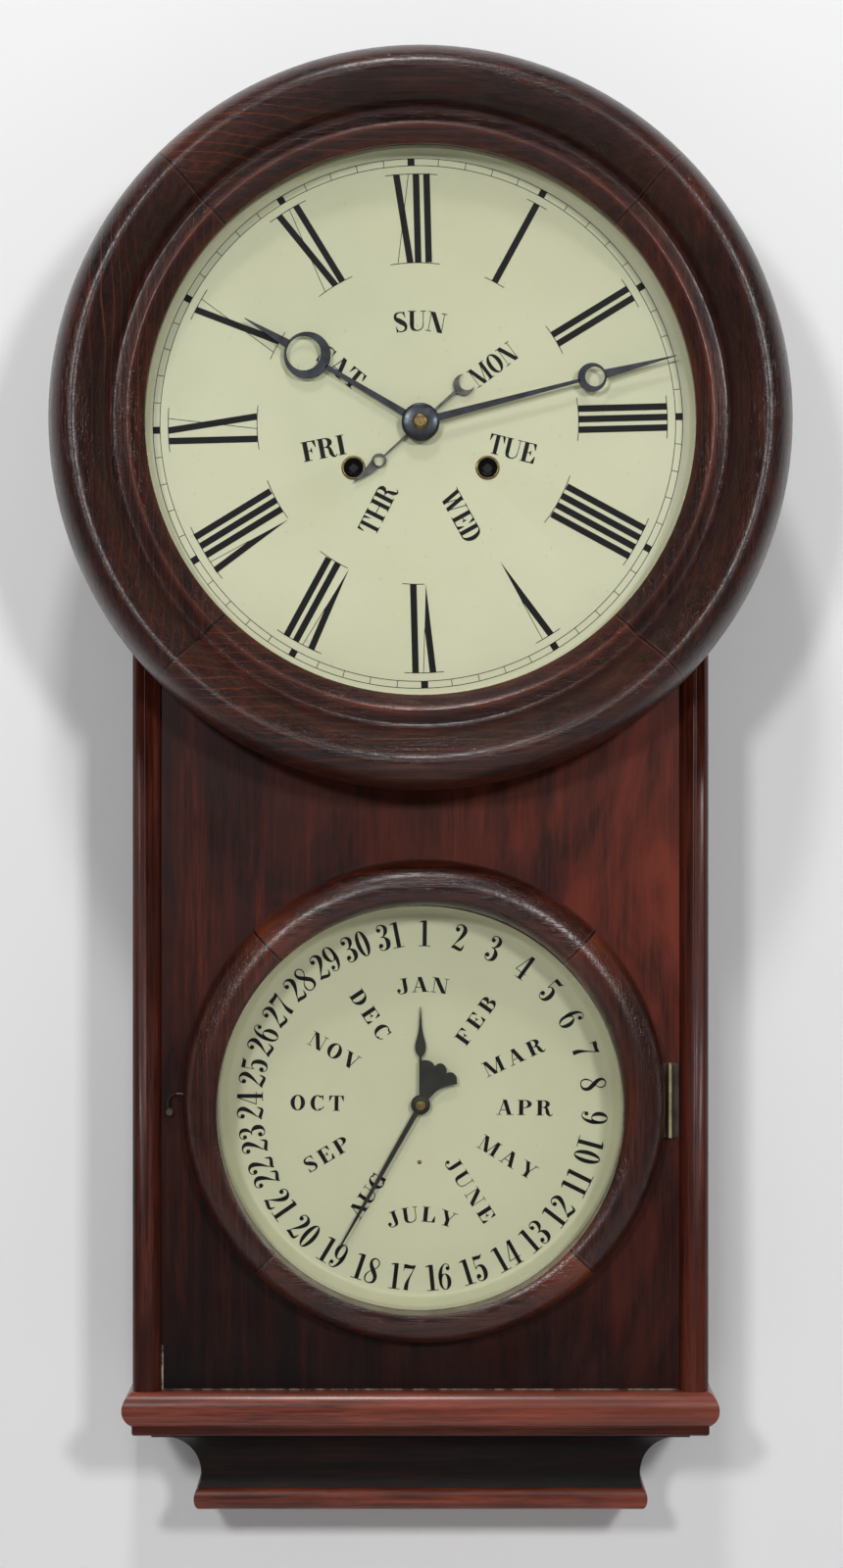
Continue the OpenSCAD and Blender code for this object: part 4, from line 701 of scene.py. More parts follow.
def figures():
    """Narrow figures with tall thick strokes."""
    six = (bow(25, 30, 23.5, 31.5, 15.5, 3) + bow(25, 30, 23.5, 31.5, 11, 3, 90, 270)
            + curl((7, 30, 11), (7.5, 55, 15), (14, 82, 10), (27, 98, 3.5), (41, 95, 3), (45, 84, 3))
            + ball(38.5, 81, 7.8))
    g = {
        "0": (50, bow(25, 50, 24.5, 51.5, 16, 3) + bow(25, 50, 24.5, 51.5, 16, 3, 90, 270)),
        "1": (42, bar(15, 0, 31, 100) + bar(0, 0, 45, 3) + [[(2, 92.5), (16, 93), (16, 100), (2, 95)]]),
        "2": (50, curl((5, 80, 3), (10, 94, 3.5), (24, 99, 5), (38, 90, 13), (41, 74, 17), (31, 50, 12),
            (14, 25, 4), (3, 3, 3)) + ball(12.5, 78.5, 8.5) + curl((2, 6, 5), (12, 10, 13), (26, 6, 13),
            (40, 4.5, 10), (48, 24, 2))),
        "3": (50, curl((5, 82, 3), (10, 95, 3.5), (24, 99, 4.5), (38, 88, 13), (38, 70, 14), (27, 55, 5),
            (16, 52, 3)) + ball(12.5, 80, 8) + curl((16, 52, 3), (30, 50, 6), (41, 34, 17), (39, 13, 15),
            (24, 1, 4.5), (10, 5, 3.5), (4, 20, 3)) + ball(12.5, 20, 8.5)),
        "4": (50, bar(27, 0, 42, 100) + slant(29, 100, 3, 26, 3.5) + bar(1, 24.5, 50, 27.5)
            + bar(15, 0, 50, 3) + [[(27, 80), (30, 80), (42, 100), (27, 100)]]),
        "5": (50, [[(8, 85), (36, 85), (46, 103), (38, 98.5), (8, 100)]] + bar(8, 50, 10.5, 100)
            + curl((9, 50, 3), (20, 61, 4.5), (35, 55, 13), (41, 34, 17), (37, 12, 14), (23, 1, 4.5),
            (10, 5, 3.5), (4, 20, 3)) + ball(12.5, 21, 8.8)),
        "6": (50, six),
        "7": (50, [[(4, 84), (40, 84), (48, 100), (30, 97), (14, 100), (4, 100)]] + bar(3, 74, 5.5, 100)
            + curl((47, 97, 3), (38, 74, 3.5), (28, 48, 7), (21, 24, 14), (20, 0, 17))),
        "8": (50, curl((37, 95, 3), (22, 98, 5), (11, 86, 9), (15, 68, 14), (29, 50, 17), (42, 30, 15),
            (40, 10, 10), (25, 1, 4)) + curl((25, 1, 4), (9, 6, 4.5), (4.5, 24, 6), (13, 42, 3.5),
            (30, 57, 3), (41, 72, 4), (41, 88, 4.5), (30, 98.5, 3.5))),
    }
    g["9"] = (50, [[(50 - x, 100 - y) for x, y in face] for face in six])
    return g


def spread(text, glyphs, gap):
    """The glyphs of a word, each with its distance from the word's middle."""
    place = -(sum(glyphs[c][0] for c in text) + gap * (len(text) - 1)) / 2
    for c in text:
        w, faces = glyphs[c]
        yield place + w / 2, w, faces
        place += w + gap


class Print:
    """Gathers painted faces on one dial and makes them one thin piece."""

    def __init__(self, centre):
        self.centre = centre
        self.faces = []

    def lay(self, faces, height, x, u, turn, width, narrow=1.0):
        """Places a glyph with its middle at x, u, in mm from the dial's centre, turned left by degrees."""
        c, s = math.cos(math.radians(turn)), math.sin(math.radians(turn))
        high, wide = height / 100, height / 100 * narrow
        for face in faces:
            spots = [((gx - width / 2) * wide, (gy - 50) * high) for gx, gy in face]
            self.faces.append([(x + c * px - s * pu, u + s * px + c * pu) for px, pu in spots])

    def word(self, text, glyphs, height, x, u, turn, gap, narrow=1.0):
        """A straight word about its middle, its letters made narrower by a factor."""
        a = math.radians(turn)
        for place, w, faces in spread(text, glyphs, gap):
            d = place * height / 100 * narrow
            self.lay(faces, height, x + d * math.cos(a), u + d * math.sin(a), turn, w, narrow)

    def arched(self, text, glyphs, height, x, u, radius, turn, gap, narrow=1.0):
        """A word bent over a circle with its middle at x, u, tops outwards."""
        for place, w, faces in spread(text, glyphs, gap):
            a = turn - math.degrees(place * height / 100 * narrow / radius)
            b = math.radians(a)
            self.lay(faces, height, x - radius * math.sin(b), u + radius * math.cos(b), a, w, narrow)

    def swing(self, faces, turn):
        """Adds faces drawn above the centre, turned left about it by degrees."""
        a = math.radians(turn)
        c, s = math.cos(a), math.sin(a)
        self.faces += [[(x * c - y * s, x * s + y * c) for x, y in face] for face in faces]

    def make(self, name, f):
        """Makes one piece of all the faces, with its back at a distance from the wall."""
        verts, faces = [], []
        for face in self.faces:
            area = sum(face[i - 1][0] * face[i][1] - face[i][0] * face[i - 1][1] for i in range(len(face)))
            if abs(area) < 1e-6:
                continue
            start = len(verts)
            for px, pu in face if area > 0 else face[::-1]:
                verts.append(at(self.centre[0] + px, self.centre[1] + pu, f + INK))
            faces.append(list(range(start, len(verts))))
        mesh = bpy.data.meshes.new(name)
        mesh.from_pydata(verts, [], faces)
        piece = bpy.data.objects.new(name, mesh)
        bpy.context.scene.collection.objects.link(piece)
        pick(piece)
        edit()
        bpy.ops.mesh.remove_doubles(threshold=0.000004)
        leave()
        apply(piece, "SOLIDIFY", thickness=INK * MM, offset=-1)
        return piece


# Lines of the time dial in mm: how far the fine line over or under a Roman numeral runs past its strokes,
# how wide that line is, how wide the numeral's own thin strokes are, and half the widths of the track's marks
OVER, RULE, THIN = 4.3, 0.4, 0.34
BOLD_MARK, FINE_MARK = 1.95, 0.18


def numeral(text, stroke, height):
    """A Roman numeral in mm from its lower left corner: its width, its faces and what its feet span."""
    faces, place, feet, end = [], 0.0, [], 0.0
    for c in text:
        if c == "I":
            faces += bar(place, 0, place + stroke, height)
            feet.append((place, place + stroke))
            end = place + stroke
            place += 1.6 * stroke
        elif c == "V":
            meet = (5.87 / 3.65 * stroke, height * 0.507)
            faces += [[(place, height), (place + 1.26 * stroke, 0), (place + meet[0], meet[1]),
                       (place + stroke, height)]]
            faces += slant(place + 1.95 * stroke, height, place + meet[0], meet[1], THIN)
            end = place + 1.95 * stroke
            place += 2.66 * stroke
        else:
            faces += slant(place + stroke / 2, height, place + 2.3 * stroke, 0, stroke)
            faces += slant(place + 2.35 * stroke, height, place + 0.45 * stroke, 0, THIN)
            feet.append((place + 0.45 * stroke, place + 2.8 * stroke))
            end = place + 2.8 * stroke
            place += 3.0 * stroke
    return end, faces, (min(a for a, b in feet), max(b for a, b in feet)) if feet else None


def curved_line(r, x0, x1, thin, steps=14):
    """A thin line along the circle of radius r between two places measured along it."""
    angles = [(x0 + (x1 - x0) * i / steps) / r for i in range(steps + 1)]
    return strip(*([(rr * math.sin(a), rr * math.cos(a)) for a in angles]
                   for rr in (r - thin / 2, r + thin / 2)))


# The operators, one for each piece or group of like pieces


class PieceOperator:
    """Shared by all the operators here."""

    bl_options = {"REGISTER", "UNDO"}


MADE = {}


def finishes():
    """The finishes that several pieces share, made once."""
    if not MADE:
        s = clock()
        bands = [(s.ridge / MM, 2.2, 0.85), (s.opening / MM + 1, 2.6, 0.35)]
        MADE.update({
            "head": ring_wood("head_ring_wood", (0, 0), bands, shade(s.ring_red, 1.05), 0.5, 0.16, 0.6),
            "calendar": ring_wood("calendar_ring_wood", RING, [(114, 2.5, 0.3)], shade(s.case_red, 0.36),
                                  0.3, 0.75, 0.75),
            "level": board_wood("moulding_wood", False, shade(s.case_red, 0.16), shade(s.case_red, 1.0),
                                shade(s.case_red, 1.9), 0.9, 0.34, 0.5, 0.35),
            # Painted shade: the cove's wood is darkened nearly to black, the shade under the base moulding
            # painted into it
            "cove": board_wood("cove_wood_painted_shade", False, shade(s.ring_dark, 0.5), s.ring_dark,
                               shade(s.ring_red, 0.6), 0.7, 0.45, 0.0),
            "stile": board_wood("stile_wood", True, s.ring_dark, shade(s.case_red, 0.3),
                                shade(s.case_red, 0.7), 0.75, 0.36, 0.12, 0.4),
            "fillet": board_wood("fillet_wood", False, s.ring_dark, shade(s.case_red, 0.36),
                                 shade(s.case_red, 0.7), 0.75, 0.36, 0.15, 0.3),
            "side": board_wood("side_wood", True, s.ring_dark, shade(s.ring_red, 0.7),
                               shade(s.case_red, 0.6), 0.6, 0.4, 0.15, 0.3),
            "panel": panel_wood(),
            "hinge": hinge_brass(),
            "plain": board_wood("plain_pine", True, srgb(84, 52, 30), srgb(138, 96, 60), srgb(172, 128, 84),
                                0.5, 0.5, 0.05),
            "bead": board_wood("bead_wood", False, srgb(70, 40, 22), srgb(112, 72, 42), srgb(150, 104, 64),
                               0.5, 0.5, 0.05),
            "print": black_print(),
            "glass": clear_glass(),
        })
        for key, name, base, dirt, rough, amount, metallic, scale in (
                ("steel", "works_steel", (150, 152, 156), (92, 84, 76), 0.3, 0.5, 1, 60),
                # Painted shade: the winding squares are darkened to the shade inside their winding holes
                ("square", "square_steel_painted_shade", (42, 42, 46), (24, 22, 20), 0.3, 0.6, 1, 60),
                ("hook", "hook_blacked", (30, 26, 25), (16, 12, 11), 0.42, 0.6, 0.6, 60),
                ("boss", "boss_steel", (66, 69, 76), (32, 33, 37), 0.34, 0.7, 1, 180),
                ("iron", "gong_blued", (46, 48, 62), (60, 44, 36), 0.36, 0.5, 1, 60),
                ("blade", "hand_blued", (52, 55, 62), (24, 24, 27), 0.36, 0.85, 0.8, 110),
                ("matt", "hand_matt", (34, 34, 32), (58, 56, 50), 0.5, 0.7, 0.5, 160),
                ("day", "day_hand_steel", (92, 92, 91), (50, 49, 46), 0.42, 0.7, 0.8, 200)):
            MADE[key] = metal(name, srgb(*base), srgb(*dirt), rough, amount, metallic, scale)
        MADE["brass"] = metal("aged_brass", shade(s.brass, 0.7), srgb(74, 60, 36), 0.32, 0.8, 1, 300)
        MADE["works"] = metal("works_brass", s.brass, srgb(120, 92, 52), 0.26, 0.45, 1, 60)
    return MADE


class HeadRing(PieceOperator, bpy.types.Operator):
    """Spins the head door's moulded ring"""

    bl_idname = "clock.head_ring"
    bl_label = "Head ring"

    def execute(self, context):
        s = clock()
        o, ridge, hollow, edge = (v / MM for v in (s.opening, s.ridge, s.hollow, s.head))
        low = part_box("head_door_ring")[1][1] / -MM
        # from the hollow to the crest: distance out from the hollow and height
        rise = ((-7.2, 13.2), (-5.2, 12.1), (-3.4, 11.9), (-2.0, 12.6), (-0.8, 14.2), (0.5, 17.2),
                (2.0, 20.2), (3.9, 23.2), (6.0, 26.1), (8.2, 28.7), (10.4, 31.1), (12.4, 33.1),
                (14.2, 34.5), (15.7, 35.3), (17.2, 35.6))
        crest = hollow + rise[-1][0]
        profile = [(o + 4.8, 0), (o + 4.8, 4), (o + 0.2, 4), (o, 4.4), (o, 6.4), (o + 0.5, 7.2),
                   (ridge - 3.2, 12.6), (ridge - 1.2, 14.0), (ridge - 0.3, 14.4), (ridge + 0.5, 14.3),
                   (ridge + 2.2, 13.6)]
        profile += [(hollow + r, f) for r, f in rise]
        profile += arc(crest, 6.1, edge - crest, 29.5, 90, 0, 24) + [(edge, 0.8), (edge - 0.8, 0)]
        settle(turned("head_ring_turned", (0, 0), low, profile, 144, angle=28), "head_door", "red_wood",
               "head", "head_door_ring")
        return {"FINISHED"}


class CalendarRing(PieceOperator, bpy.types.Operator):
    """Spins the calendar door's rounded ring and bores its opening off the centre"""

    bl_idname = "clock.calendar_ring"
    bl_label = "Calendar ring"

    def execute(self, context):
        s = clock()
        o, edge = s.calendar_opening / MM, s.calendar_ring / MM
        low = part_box("calendar_door_ring")[1][1] / -MM
        inner, outer = 11, 14.5  # how far the wood rounds down on both sides of its crest
        crest = edge - outer
        profile = [(o - 7, 0), (o - 7, 6.2), (crest - inner, 7)] + arc(crest, 7, inner, 13, 172, 90, 16)
        profile += arc(crest, 3.6, outer, 16.4, 90, 0, 20) + [(edge, 0.6), (edge - 0.6, 0)]
        ring = turned("calendar_ring_turned", RING, low, profile, 144, angle=28)
        bored(ring, CAL, o, low - 2, low + 24, 144)
        bored(ring, CAL, o + 4.8, low - 2, low + 4, 144)
        bpy.ops.object.shade_smooth_by_angle(angle=math.radians(28))
        ease(ring, 0.5, 50)
        settle(ring, "calendar_door", "red_wood", "calendar", "calendar_door_ring")
        return {"FINISHED"}


class CaseWood(PieceOperator, bpy.types.Operator):
    """Eases the edges of the boards, beads and base mouldings"""

    bl_idname = "clock.case_wood"
    bl_label = "Case wood"

    def execute(self, context):
        for node, name, width, finish in (
                ("side_boards", "side_boards_eased", 0.8, "side"),
                ("stile_beads", "stile_beads_rounded", 0, "stile"),
                ("front_panel", "front_panel_veneered", 0.3, "panel"),
                ("top_board", "top_board_eased", 0.8, "side"),
                ("dial_surround", "dial_surround_turned", 0.5, "side"),
                ("base_moulding", "base_moulding_round", 0, "level"),
                ("base_fillet", "base_fillet_eased", 0.4, "fillet"),
                ("base_cove", "base_cove_hollow", 0, "cove"),
                ("base_foot", "base_foot_round", 0, "level"), ("backboard", "backboard_eased", 0.5, "plain")):
            slot = "plain_wood" if node in ("backboard", "top_board") else "red_wood"
            eased_copy(node, name, width, finish, "case", slot)
        return {"FINISHED"}


class GlueLine(PieceOperator, bpy.types.Operator):
    """Runs the pale glue line down the panel's left side and along its foot"""

    bl_idname = "clock.glue_line"
    bl_label = "Glue line"

    def execute(self, context):
        w = Finish("old_glue")
        crumbs = w.noise(190, 5, 0.7)
        mat = w.finish(base_color=w.ramp(crumbs, [(0.42, srgb(40, 26, 20)), (0.58, srgb(150, 136, 118))]),
                       roughness=0.7, normal=w.bump(crumbs, 0.5, 0.4))
        lines = bar(-143.95, -536.9, -142.9, -512) + bar(-143.2, -536.9, 143.9, -536.35)
        glue = together("glue_line", [plate("glue", line, PANEL, 0.2, 0.5) for line in lines])
        settle(glue, "case", "plain_wood", mat)
        return {"FINISHED"}


class Dials(PieceOperator, bpy.types.Operator):
    """Spins both dished dials and their brass grommets"""

    bl_idname = "clock.dials"
    bl_label = "Dials"

    def execute(self, context):
        s = clock()
        flat = s.opening / MM - 2.1
        profile = [(5.6, -1), (flat, -1), (flat + 1.4, -0.4), (flat + 3.5, 2), (163, 2), (163, 3),
                   (flat + 3.1, 3), (flat + 2.2, 1.6), (flat + 1, 0.5), (flat - 0.2, 0), (5.6, 0)]
        dial = turned("time_dial_dished", (0, 0), TIME_FRONT, profile, 144, angle=50)
        for x, u in KEYHOLES:
            bored(dial, (x, u), 6.0, TIME_FRONT - 3, TIME_FRONT + 3, 48)
        settle(dial, "case", "dial_paint", dial_paint("time_dial_paint", (0, 0), flat), "time_dial")
        flat = s.calendar_opening / MM - 5.3
        profile = [(3.2, -1), (flat, -1), (flat + 2.4, 0.4), (flat + 5.5, 9), (124, 9), (124, 10),
                   (flat + 4.9, 10), (flat + 4.1, 8.6), (flat + 1.6, 1.4), (flat + 0.6, 0.35),
                   (flat - 0.6, 0), (3.2, 0)]
        dial = turned("calendar_dial_dished", CAL, CALENDAR_FRONT, profile, 144, angle=50)
        settle(dial, "case", "dial_paint", dial_paint("calendar_dial_paint", CAL, flat), "calendar_dial")
        profile = [(5.3, -1), (5.3, 0.7), (5.5, 0.95), (5.9, 1.05), (6.4, 0.8), (6.65, 0.3), (6.7, 0.02),
                   (6.0, 0.02), (6.0, -1)]
        rings = [turned("grommet", hole, TIME_FRONT, profile, 64, angle=60) for hole in KEYHOLES]
        settle(together("grommets_brass", rings), "case", "brass", "brass", "dial_grommets")
        return {"FINISHED"}


class TimePrint(PieceOperator, bpy.types.Operator):
    """Paints the hours, the minute track and the names of the days"""

    bl_idname = "clock.time_print"
    bl_label = "Time dial print"

    def execute(self, context):
        s = clock()
        low, high, stroke = s.numeral_low / MM, s.numeral_high / MM, s.stroke / MM
        track, wide = s.track / MM, s.track_width / MM
        turn = math.degrees(s.dial_turn)
        ink = Print(TIME_PRINT)
        names = ["XII", "I", "II", "III", "IIII", "V", "VI", "VII", "VIII", "IX", "X", "XI"]
        for hour, text in enumerate(names):
            width, faces, feet = numeral(text, stroke, high - low)
            shift = width / 2
            laid = [[(x - shift, low + y) for x, y in face] for face in faces]
            laid += curved_line(high, -shift - OVER, width - shift + OVER, RULE)
            if feet:
                laid += curved_line(low, feet[0] - shift - OVER, feet[1] - shift + OVER, RULE)
            ink.swing(laid, turn - 30 * hour)
        for minute in range(60):
            half = BOLD_MARK if minute % 5 == 0 else FINE_MARK
            mark = bar(-half, track, half, track + wide)
            for r in (track, track + wide):
                mark += curved_line(r, -math.radians(3) * r, math.radians(3) * r, 2 * FINE_MARK, 4)
            ink.swing(mark, turn - 6 * minute)
        glyphs = letters()
        ink.arched("SUN", glyphs, 11, 0, 0, 57.0, -1.3, 5, 0.86)
        for text, x, u, lean, narrow in (
                ("MON", 41.8, 32.7, 37, 0.74), ("TUE", 52.4, -13.9, -14, 0.79),
                ("WED", 24.1, -51.2, -61, 0.79), ("THR", -22.1, -47.6, 63, 0.78),
                ("FRI", -52.4, -13.8, 11, 0.86), ("SAT", -42.6, 30.8, -39, 0.86)):
            ink.word(text, glyphs, 11, x, u, lean, 5, narrow)
        settle(ink.make("time_dial_print", TIME_FRONT), "case", "dial_paint", "print")
        return {"FINISHED"}


class CalendarPrint(PieceOperator, bpy.types.Operator):
    """Paints the thirty-one dates, unevenly spaced as by a painter's hand, and the twelve months"""

    bl_idname = "clock.calendar_print"
    bl_label = "Calendar dial print"

    def execute(self, context):
        ink = Print(CALENDAR_PRINT)
        digits, radius = figures(), 96.8
        for day in range(1, 32):
            t = 2 * math.pi / 31 * (day - 1)
            a = math.degrees(t) + 1.3 - 0.8 * math.sin(t) + 1.1 * math.sin(2 * t - 0.65)
            b = math.radians(a)
            lean = -a if day <= 10 or day >= 22 else 180 - a
            ink.word(str(day), digits, 14.5, radius * math.sin(b) - 0.7, radius * math.cos(b), lean, 7)
        glyphs = letters()
        size = 8.5
        ink.arched("JAN", glyphs, size, 0, 0, 68.1, 0.6, 20)
        for text, x, u, lean, gap in (
                ("FEB", 29.5, 48.0, 54, 40), ("MAR", 50.5, 27.3, 25, 33), ("APR", 56.8, -1.1, -1, 27),
                ("MAY", 47.4, -29.1, -32, 31), ("JUNE", 26.0, -46.9, -57, 30), ("AUG", -31.6, -50.5, 56, 5),
                ("SEP", -54.4, -27.3, 31, 30), ("OCT", -59.7, 1.5, -1, 33), ("NOV", -50.1, 30.8, -30, 22),
                ("DEC", -29.9, 51.2, -56, 40)):
            ink.word(text, glyphs, size, x, u, lean, gap)
        ink.arched("JULY", glyphs, size, -1.5, -107.0, 46.0, 0.0, 26)
        settle(ink.make("calendar_dial_print", CALENDAR_FRONT), "case", "dial_paint", "print")
        return {"FINISHED"}


def aimed(angle, centre, points):
    """Points of a hand that lies straight up, turned clockwise by an angle about its centre."""
    a = math.radians(angle)
    return [(centre[0] + x * math.cos(a) + y * math.sin(a), centre[1] - x * math.sin(a) + y * math.cos(a))
            for x, y in points]


def blade(angle, centre, steps, f, name="blade"):
    """A flat blade through distances from the centre and widths."""
    points = [(w / 2, d) for d, w in steps] + [(-w / 2, d) for d, w in reversed(steps)]
    return plate(name, aimed(angle, centre, points), f, 0.2)


def moon(angle, centre, d, radius, hole, off, f, bevel=0.22):
    """A flat ring on a hand at a distance from the centre. Its hole lies further out by off."""
    pick()
    middle, hole_middle = aimed(angle, centre, [(0, d), (0, d + off)])
    bpy.ops.mesh.primitive_circle_add(vertices=72, radius=radius * MM, location=at(*middle, f),
                                      rotation=FACING)
    piece = named("moon")
    bpy.ops.object.transform_apply(location=True, rotation=True, scale=True)
    bpy.ops.object.mode_set(mode="EDIT")
    bpy.ops.mesh.primitive_circle_add(vertices=72, radius=hole * MM, location=at(*hole_middle, f),
                                      rotation=FACING)
    everything()
    bpy.ops.mesh.bridge_edge_loops()
    return thickened(piece, bevel)


def boss(name, centre, f, radius, bore, dome):
    """A domed round boss with a bore."""
    profile = [(bore, 0), (radius, 0), (radius, 0.5)] + arc(bore, 0.5, radius - bore, dome - 0.5, 0, 90, 10)
    return turned(name, centre, f, profile, 64, angle=50)


class TimeHands(PieceOperator, bpy.types.Operator):
    """Cuts the minute, hour and day hands and turns their bosses and the collet"""

    bl_idname = "clock.time_hands"
    bl_label = "Time hands"

    def execute(self, context):
        c, black = (0, 0), "black_steel"
        a = 75.5  # where each hand points, in degrees clockwise from the top
        minute = [blade(a, c, [(3, 4.4), (91.3, 1.9)], MINUTE), moon(a, c, 97.9, 8, 5.4, 1.55, MINUTE),
                  blade(a, c, [(105.3, 5), (118, 3.4), (146, 0.4)], MINUTE)]
        settle(together("minute_hand_blade", minute), "centre", black, "blade", "minute_hand")
        settle(boss("minute_hand_boss", c, MINUTE, 10.5, 2.5, 1.9), "centre", black, "boss")
        a = 300.6
        hour = [blade(a, c, [(4, 4), (61, 2.4)], HOUR), moon(a, c, 72.8, 13, 9.5, 2.2, HOUR, 0.25),
                blade(a, c, [(85, 5), (96, 3.2), (113, 0.5)], HOUR)]
        settle(together("hour_hand_blade", hour), "hour", black, "blade", "hour_hand")
        settle(boss("hour_hand_boss", c, HOUR, 10.5, 4.0, 1.7), "hour", black, "boss")
        a = 227.6
        leaf = [(0, 34.2), (3, 33.4), (2.6, 35.6), (2.1, 38), (1.7, 42), (1.3, 46.5), (0.6, 50.3),
                (-0.4, 46.5), (-1.3, 43), (-2.1, 40), (-2.7, 36), (-3, 33.4)]
        crescent = arc(0, 32.0, 5.9, 5.9, 40.9, -220.9, 24, 0)
        crescent += arc(0, 34.44, 4.68, 4.68, 162.3, 377.7, 20)[:-1]
        day = [blade(a, c, [(3, 1.8), (27.4, 1.0)], DAY), moon(a, c, 31, 4, 2.8, 0.2, DAY, 0.15),
               plate("leaf", aimed(a, c, leaf), DAY, 0.15),
               plate("crescent", aimed(a + 181, c, crescent), DAY, 0.12),
               blade(a + 181, c, [(3, 1.4), (26.8, 2.0)], DAY)]
        settle(together("day_hand_cut", day), "day", black, "day", "day_hand")
        settle(boss("day_hand_boss", c, DAY, 7.5, 5.3, 1.2), "day", black, "day")
        profile = [(2.0, 0), (4.7, 0), (4.7, 0.75), (4.45, 1.05), (3.6, 1.5), (2.6, 1.75), (2.5, 1.3),
                   (1.2, 1.3), (1.1, 1.8), (0, 1.85), (0, 1.0), (2.0, 1.0)]
        collet = turned("minute_collet_turned", c, MINUTE + 1, profile, 64, angle=40)
        settle(collet, "centre", "brass", "brass", "minute_collet")
        return {"FINISHED"}


class CalendarHands(PieceOperator, bpy.types.Operator):
    """Cuts the date hand with its scalloped tail and the month hand"""

    bl_idname = "clock.calendar_hands"
    bl_label = "Calendar hands"

    def execute(self, context):
        fan = [(-0.8, 2), (3.4, 2), (5.7, 4.5), (8.3, 7.2), (11.3, 9.4), (15.1, 10.7), (18.1, 11.4),
               (20.6, 11.7)]
        for cx, cu, rx, ru, a0, a1 in ((16.6, 14.2, 3.8, 4.2, -8, 118), (11.0, 19.0, 3.7, 4.4, -12, 142),
                                       (2.6, 21.5, 5.2, 3.7, 16, 118)):
            fan += arc(cx, cu, rx, ru, a0, a1, 8, 0)
        fan.append((-0.8, 24.6))
        parts = [plate("fan", aimed(0, CAL, fan), DATE, 0.15),
                 blade(209.5, CAL, [(2.4, 3.0), (45, 2.4), (66, 1.8), (91, 1.1)], DATE)]
        settle(together("date_hand_blade", parts), "date", "black_steel", "matt", "date_hand")
        settle(boss("date_hand_boss", CAL, DATE, 5.4, 2.0, 1.6), "date", "black_steel", "matt")
        profile = [(0, 0), (2.6, 0), (2.6, 0.5), (2.1, 0.9), (1.2, 1.1), (1.1, 0.7), (0, 0.7)]
        screw = turned("date_hand_screw", CAL, DATE + 1.2, profile, 48, angle=40)
        settle(screw, "date", "brass", "brass")
        steps = [(3, 1.6), (26.6, 1.2), (27.3, 2.4), (28.4, 4.2), (30, 5.6), (32.2, 6.3), (34.6, 5.6),
                 (37.4, 4.1), (40.6, 2.5), (44, 1.6), (49, 1.0), (55, 0.4)]
        month = blade(0, CAL, steps, MONTH, "month_hand_blade")
        settle(month, "month", "black_steel", "matt", "month_hand")
        settle(boss("month_hand_boss", CAL, MONTH, 5.4, 2.9, 1.4), "month", "black_steel", "matt")
        profile = [(0, 0.6), (0.8, 0.5), (1.2, 0.1), (1.2, -0.8), (0, -0.8)]
        stud = turned("dial_stud", (CAL[0] - 0.6, CAL[1] - 32.6), CALENDAR_FRONT, profile, 24, angle=60)
        settle(stud, "case", "brass", "brass")
        return {"FINISHED"}


class Glazing(PieceOperator, bpy.types.Operator):
    """Grinds both panes and lays their wooden beads"""

    bl_idname = "clock.glazing"
    bl_label = "Glass"

    def execute(self, context):
        for row in (
                ("head_glass", "head_glass_pane", 0.25, "glass", "head_door", "glass"),
                ("calendar_glass", "calendar_glass_pane", 0.25, "glass", "calendar_door", "glass"),
                ("head_glass_bead", "head_bead_strip", 0.3, "bead", "head_door", "plain_wood"),
                ("calendar_glass_bead", "calendar_bead_strip", 0.3, "bead", "calendar_door", "plain_wood")):
            eased_copy(*row)
        return {"FINISHED"}


class Fittings(PieceOperator, bpy.types.Operator):
    """Rounds the hinges, hooks, screws, hanging plate and winding squares"""

    bl_idname = "clock.fittings"
    bl_label = "Fittings"

    def execute(self, context):
        for row in (
                ("case_fittings", "case_hinges", 0.2, "hinge", "case", "brass"),
                ("head_door_fittings", "head_door_hinge", 0.2, "hinge", "head_door", "brass"),
                ("calendar_door_fittings", "calendar_door_hinge_leaf", 0.2, "hinge", "calendar_door",
                 "brass"),
                ("head_hook", "head_hook_flat", 0.15, "hook", "head_hook", "steel"),
                ("calendar_hook", "calendar_hook_wire", 0.25, "hook", "calendar_hook", "steel"),
                ("fasteners", "screws_and_nuts", 0.2, "works", "case", "brass"),
                ("hanger_plate", "hanging_plate", 0.3, "steel", "case", "steel"),
                ("time_winding_arbor", "time_winding_square", 0.25, "square", "time_winding", "steel"),
                ("strike_winding_arbor", "strike_winding_square", 0.25, "square", "strike_winding", "steel")):
            eased_copy(*row)
        return {"FINISHED"}


class Works(PieceOperator, bpy.types.Operator):
    """Gives the wheels, plates and gong their metals"""

    bl_idname = "clock.works"
    bl_label = "Works"

    def execute(self, context):
        m = finishes()
        kinds = {"verge": "steel", "hammer": "steel", "pendulum_rod": "steel", "gong": "iron",
                 "movement_battens": "plain"}
        for name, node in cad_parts.items():
            if node.hide_render:
                continue
            finish = m[kinds.get(name, "works")]
            if not node.data.materials:
                node.data.materials.append(finish)
            for i in range(len(node.data.materials)):
                node.data.materials[i] = finish
        return {"FINISHED"}


# The studio, in metres: the middles of the wall and the floor, and the camera in front of the clock
WALL = (0, 0.003, 0.2)
FLOOR = (0, -4.0, -1.45)
EYE = (0.00054, -1.784, -0.2841)
LENS = 70.36     # in mm
DAYLIGHT = 0.13  # weak light from all round


